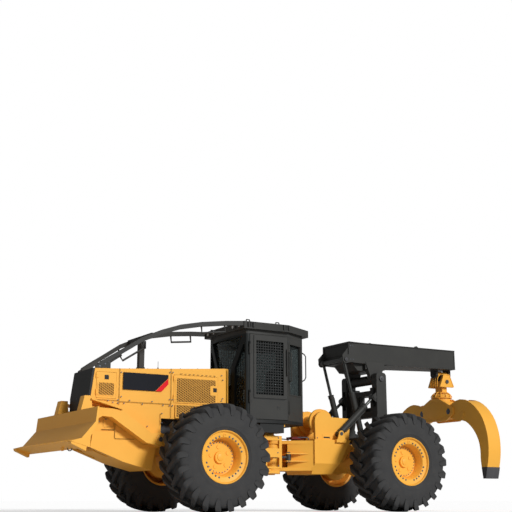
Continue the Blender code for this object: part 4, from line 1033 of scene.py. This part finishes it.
def crosshead_trim():
    straps = Shape()
    for y in (-0.105, -0.035, 0.035, 0.105):
        strap(straps, y, hung(1, CROSSHEAD_STRAP), 0.026, 0.012)
    piece("crosshead_straps", "crosshead", YELLOW_PLAIN, straps, bevel=0.002)
    shade = Shape().box((HANG_X - 0.075, -0.145, 2.79), (HANG_X + 0.075, 0.145, 2.80))
    shade.box((HANG_X + 0.09, -0.14, 2.72), (HANG_X + 0.11, 0.14, 2.845))
    piece("crosshead_shade", "crosshead", BLACK, shade)
    caps = pin_cap((HANG_X, 0.209, 2.70), 0.042, 0.010)
    piece("crosshead_pins", "crosshead", IRON, caps.mirror())
    edge = Shape()
    for y in (0.197, -0.197):
        strap(edge, y, hung(1, CROSSHEAD_RIM), 0.010, 0.014)
    piece("crosshead_rims", "crosshead", YELLOW_PLAIN, edge)


ROTATOR_BOLTS = 12
ROTATOR_TOP = ((-0.002, 0.18), (0.012, 0.178), (0.022, 0.165), (0.022, 0.12), (0.06, 0.105), (0.06, 0.001))
# radius, height of the bars of the rotator's cage
CAGE_BAR = ((0.095, 2.485), (0.14, 2.475), (0.19, 2.435), (0.222, 2.385), (0.212, 2.352), (0.19, 2.352))
CAGE_FOOT = ((0.0, 0.185), (0.0, 0.222), (0.014, 0.222), (0.014, 0.185))
CAGE_HEAD = ((0.0, 0.06), (0.0, 0.142), (0.014, 0.140), (0.014, 0.06))


def rotator_trim():
    top = Shape().turned((HANG_X, 0, 2.42), UP, ROTATOR_TOP, 56)
    piece("rotator_top", "link", YELLOW_PLAIN, top)
    bolts = Shape()
    for angle in turns(ROTATOR_BOLTS):
        bolts.bolt((HANG_X + 0.155 * math.cos(angle), 0.155 * math.sin(angle), 2.441), UP, 0.009)
    piece("rotator_bolts", "link", BOLT, bolts)
    cage = Shape()
    for angle in turns(ROTATOR_BOLTS, 0.5):
        out = Vector((math.cos(angle), math.sin(angle), 0))
        cage.tube([Vector((HANG_X, 0, z)) + out * r for r, z in CAGE_BAR], 0.0095, 8)
    cage.turned((HANG_X, 0, 2.352), UP, CAGE_FOOT, 48)
    cage.turned((HANG_X, 0, 2.466), UP, CAGE_HEAD, 48)
    piece("rotator_straps", "link", YELLOW_PLAIN, cage)


# Distance of the grapple frame's front and rear faces from the hanging axis
PANEL_OUT = 0.205
GRAPPLE_STRAP = ((0.135, 2.325), (0.165, 2.29), (0.185, 2.24), (0.190, 2.20))
# Left half of the raised panel's foot and of its face, in y and z
PANEL_FOOT = ((0.10, 2.255), (0.34, 2.185), (0.44, 2.06), (0.34, 1.945), (0.10, 1.91))
PANEL_FACE = ((0.09, 2.235), (0.33, 2.168), (0.418, 2.06), (0.33, 1.962), (0.09, 1.93))
PANEL_BOLTS = ((0.50, 2.125), (0.515, 2.02), (0.46, 1.935), (0.30, 1.885), (0.22, 2.25), (0.10, 1.875))
TONG_PIN = ((-0.002, 0.062), (0.004, 0.062), (0.006, 0.058), (0.006, 0.042), (0.015, 0.040), (0.015, 0.001))
TONG_BOSS = ((-0.002, 0.075), (0.006, 0.074), (0.008, 0.070), (0.008, 0.045), (0.016, 0.043), (0.016, 0.001))
# inner bottom, inner top, outer top and outer bottom of a tong's tip, in y and z
TONG_TIP = ((1.3385, 0.6365), (1.3060, 0.86), (1.475, 0.86), (1.412, 0.6365))


def both_halves(half):
    return [*half, *((-y, z) for y, z in reversed(half))]


def grapple_trim():
    straps, plates, bolts, caps = Shape(), Shape(), Shape(), Shape()
    for way in (1, -1):
        for y in (-0.14, -0.07, 0.0, 0.07, 0.14):
            strap(straps, y, hung(way, GRAPPLE_STRAP), 0.024, 0.012)
        rings = ((-0.002, PANEL_FOOT), (0.004, PANEL_FOOT), (0.010, PANEL_FACE))
        x = HANG_X + way * PANEL_OUT
        plates.loft([[(x + way * out, y, z) for y, z in both_halves(half)] for out, half in rings])
        for _, side in SIDES:
            bolts.bolts([(x, side * y, z) for y, z in PANEL_BOLTS], (way, 0, 0), 0.008)
            caps.turned((x, side * 0.42, 2.04), (way, 0, 0), TONG_PIN, 32)
    piece("grapple_straps", "grapple", YELLOW_PLAIN, straps, bevel=0.002)
    piece("grapple_panels", "grapple", YELLOW_PLAIN, plates)
    piece("grapple_bolts", "grapple", YELLOW_PLAIN, bolts)
    piece("tong_pin_caps", "grapple", BOLT, caps)


def tongs_trim():
    for side_name, side in SIDES:
        body = f"tong_{side_name}"
        block = Shape().prism("X", TONG_TIP, HANG_X - 0.172, HANG_X + 0.172)
        piece(f"{body}_tip", body, IRON, block.flipped(side), bevel=0.004)
        caps = Shape()
        for way in (1, -1):
            caps.turned((HANG_X + way * 0.165, 0.82, 1.95), (way, 0, 0), TONG_BOSS, 32)
        piece(f"{body}_bosses", body, YELLOW_PLAIN, caps.flipped(side))


# Stage

CAMERA_AT = (10.1484, 16.5103, 0.2174)
# Radians from +X towards +Y, and up from level
CAMERA_YAW = -2.10765
CAMERA_PITCH = 0.24156
CAMERA_LENS = 69.66
SENSOR = 36.0
SUN_STRENGTH = 2.65
SUN_ANGLE_DEG = 14
SUN_FROM = (-0.22, 0.88, 0.42)
SKY_STRENGTH = 0.24
FLOOR_SIZE = 400.0
# Light that the floor gives off where the camera sees it
FLOOR_LIFT = 0.52
WHITE = (1.0, 1.0, 1.0, 1.0)


def camera():
    data = bpy.data.cameras.new("camera")
    made = placed("camera", data)
    data.sensor_width = SENSOR
    data.lens = CAMERA_LENS
    data.clip_end = 1000.0
    level = math.cos(CAMERA_PITCH)
    looking = Vector((math.cos(CAMERA_YAW) * level, math.sin(CAMERA_YAW) * level, math.sin(CAMERA_PITCH)))
    made.location = CAMERA_AT
    aim(made, looking, "-Z")
    bpy.context.scene.camera = made


def seen_straight(tree):
    """1 where the camera looks straight at a surface, or looks at it through glass."""
    path = node(tree, "LightPath", {})
    both = node(tree, "Math", {})
    both.operation = "MAXIMUM"
    tree.links.new(path.outputs["Is Camera Ray"], both.inputs[0])
    tree.links.new(path.outputs["Is Transmission Ray"], both.inputs[1])
    return both.outputs[0]


def sky():
    world = bpy.data.worlds.new("sky")
    bpy.context.scene.world = world
    world.use_nodes = True
    tree = world.node_tree
    tree.nodes.clear()
    light = node(tree, "Background", {"Strength": SKY_STRENGTH, "Color": WHITE})
    shown = node(tree, "Background", {"Color": WHITE})
    mix = node(tree, "MixShader", {})
    for i, output in enumerate((seen_straight(tree), light.outputs[0], shown.outputs[0])):
        tree.links.new(output, mix.inputs[i])
    tree.links.new(mix.outputs[0], node(tree, "OutputWorld", {}).inputs["Surface"])


def floor():
    made, tree, shader = new_material("pale_floor")
    cloud = noise_of(tree, 0.6)
    wander(tree, cloud, (0.80, 0.80, 0.80), (0.78, 0.78, 0.78), shader.inputs["Base Color"])
    set_inputs(shader, {"Roughness": 0.9, "Specular IOR Level": 0.1})
    glow = node(tree, "Emission", {"Color": WHITE})
    lift = node(tree, "Math", {})
    lift.operation = "MULTIPLY"
    lift.inputs[1].default_value = FLOOR_LIFT
    tree.links.new(seen_straight(tree), lift.inputs[0])
    tree.links.new(lift.outputs[0], glow.inputs["Strength"])
    both = node(tree, "AddShader", {})
    tree.links.new(shader.outputs[0], both.inputs[0])
    tree.links.new(glow.outputs[0], both.inputs[1])
    tree.links.new(both.outputs[0], tree.nodes["Material Output"].inputs["Surface"])
    mesh = bpy.data.meshes.new("floor")
    h = FLOOR_SIZE / 2
    mesh.from_pydata([(-h, -h, 0), (h, -h, 0), (h, h, 0), (-h, h, 0)], [], [(0, 1, 2, 3)])
    mesh.materials.append(made)
    ground = placed("floor", mesh)


def lights():
    data = bpy.data.lights.new("sun", "SUN")
    data.energy = SUN_STRENGTH
    data.angle = math.radians(SUN_ANGLE_DEG)
    aim(placed("sun", data), SUN_FROM, "Z")


dress_frame()
wheels()
hood_seams()
hood_trim()
lower_grille()
hood_doors()
guard_trim()
riser_trim()
cab_doors_trim()
quarter_trim()
roof_trim()
cab_trim()
seat_trim()
blade_trim()
hitch_trim()
winch_trim()
cylinder_trim()
arch_trim()
boom_trim()
crosshead_trim()
rotator_trim()
grapple_trim()
tongs_trim()
camera()
sky()
floor()
lights()
bpy.context.scene.view_settings.view_transform = "Standard"
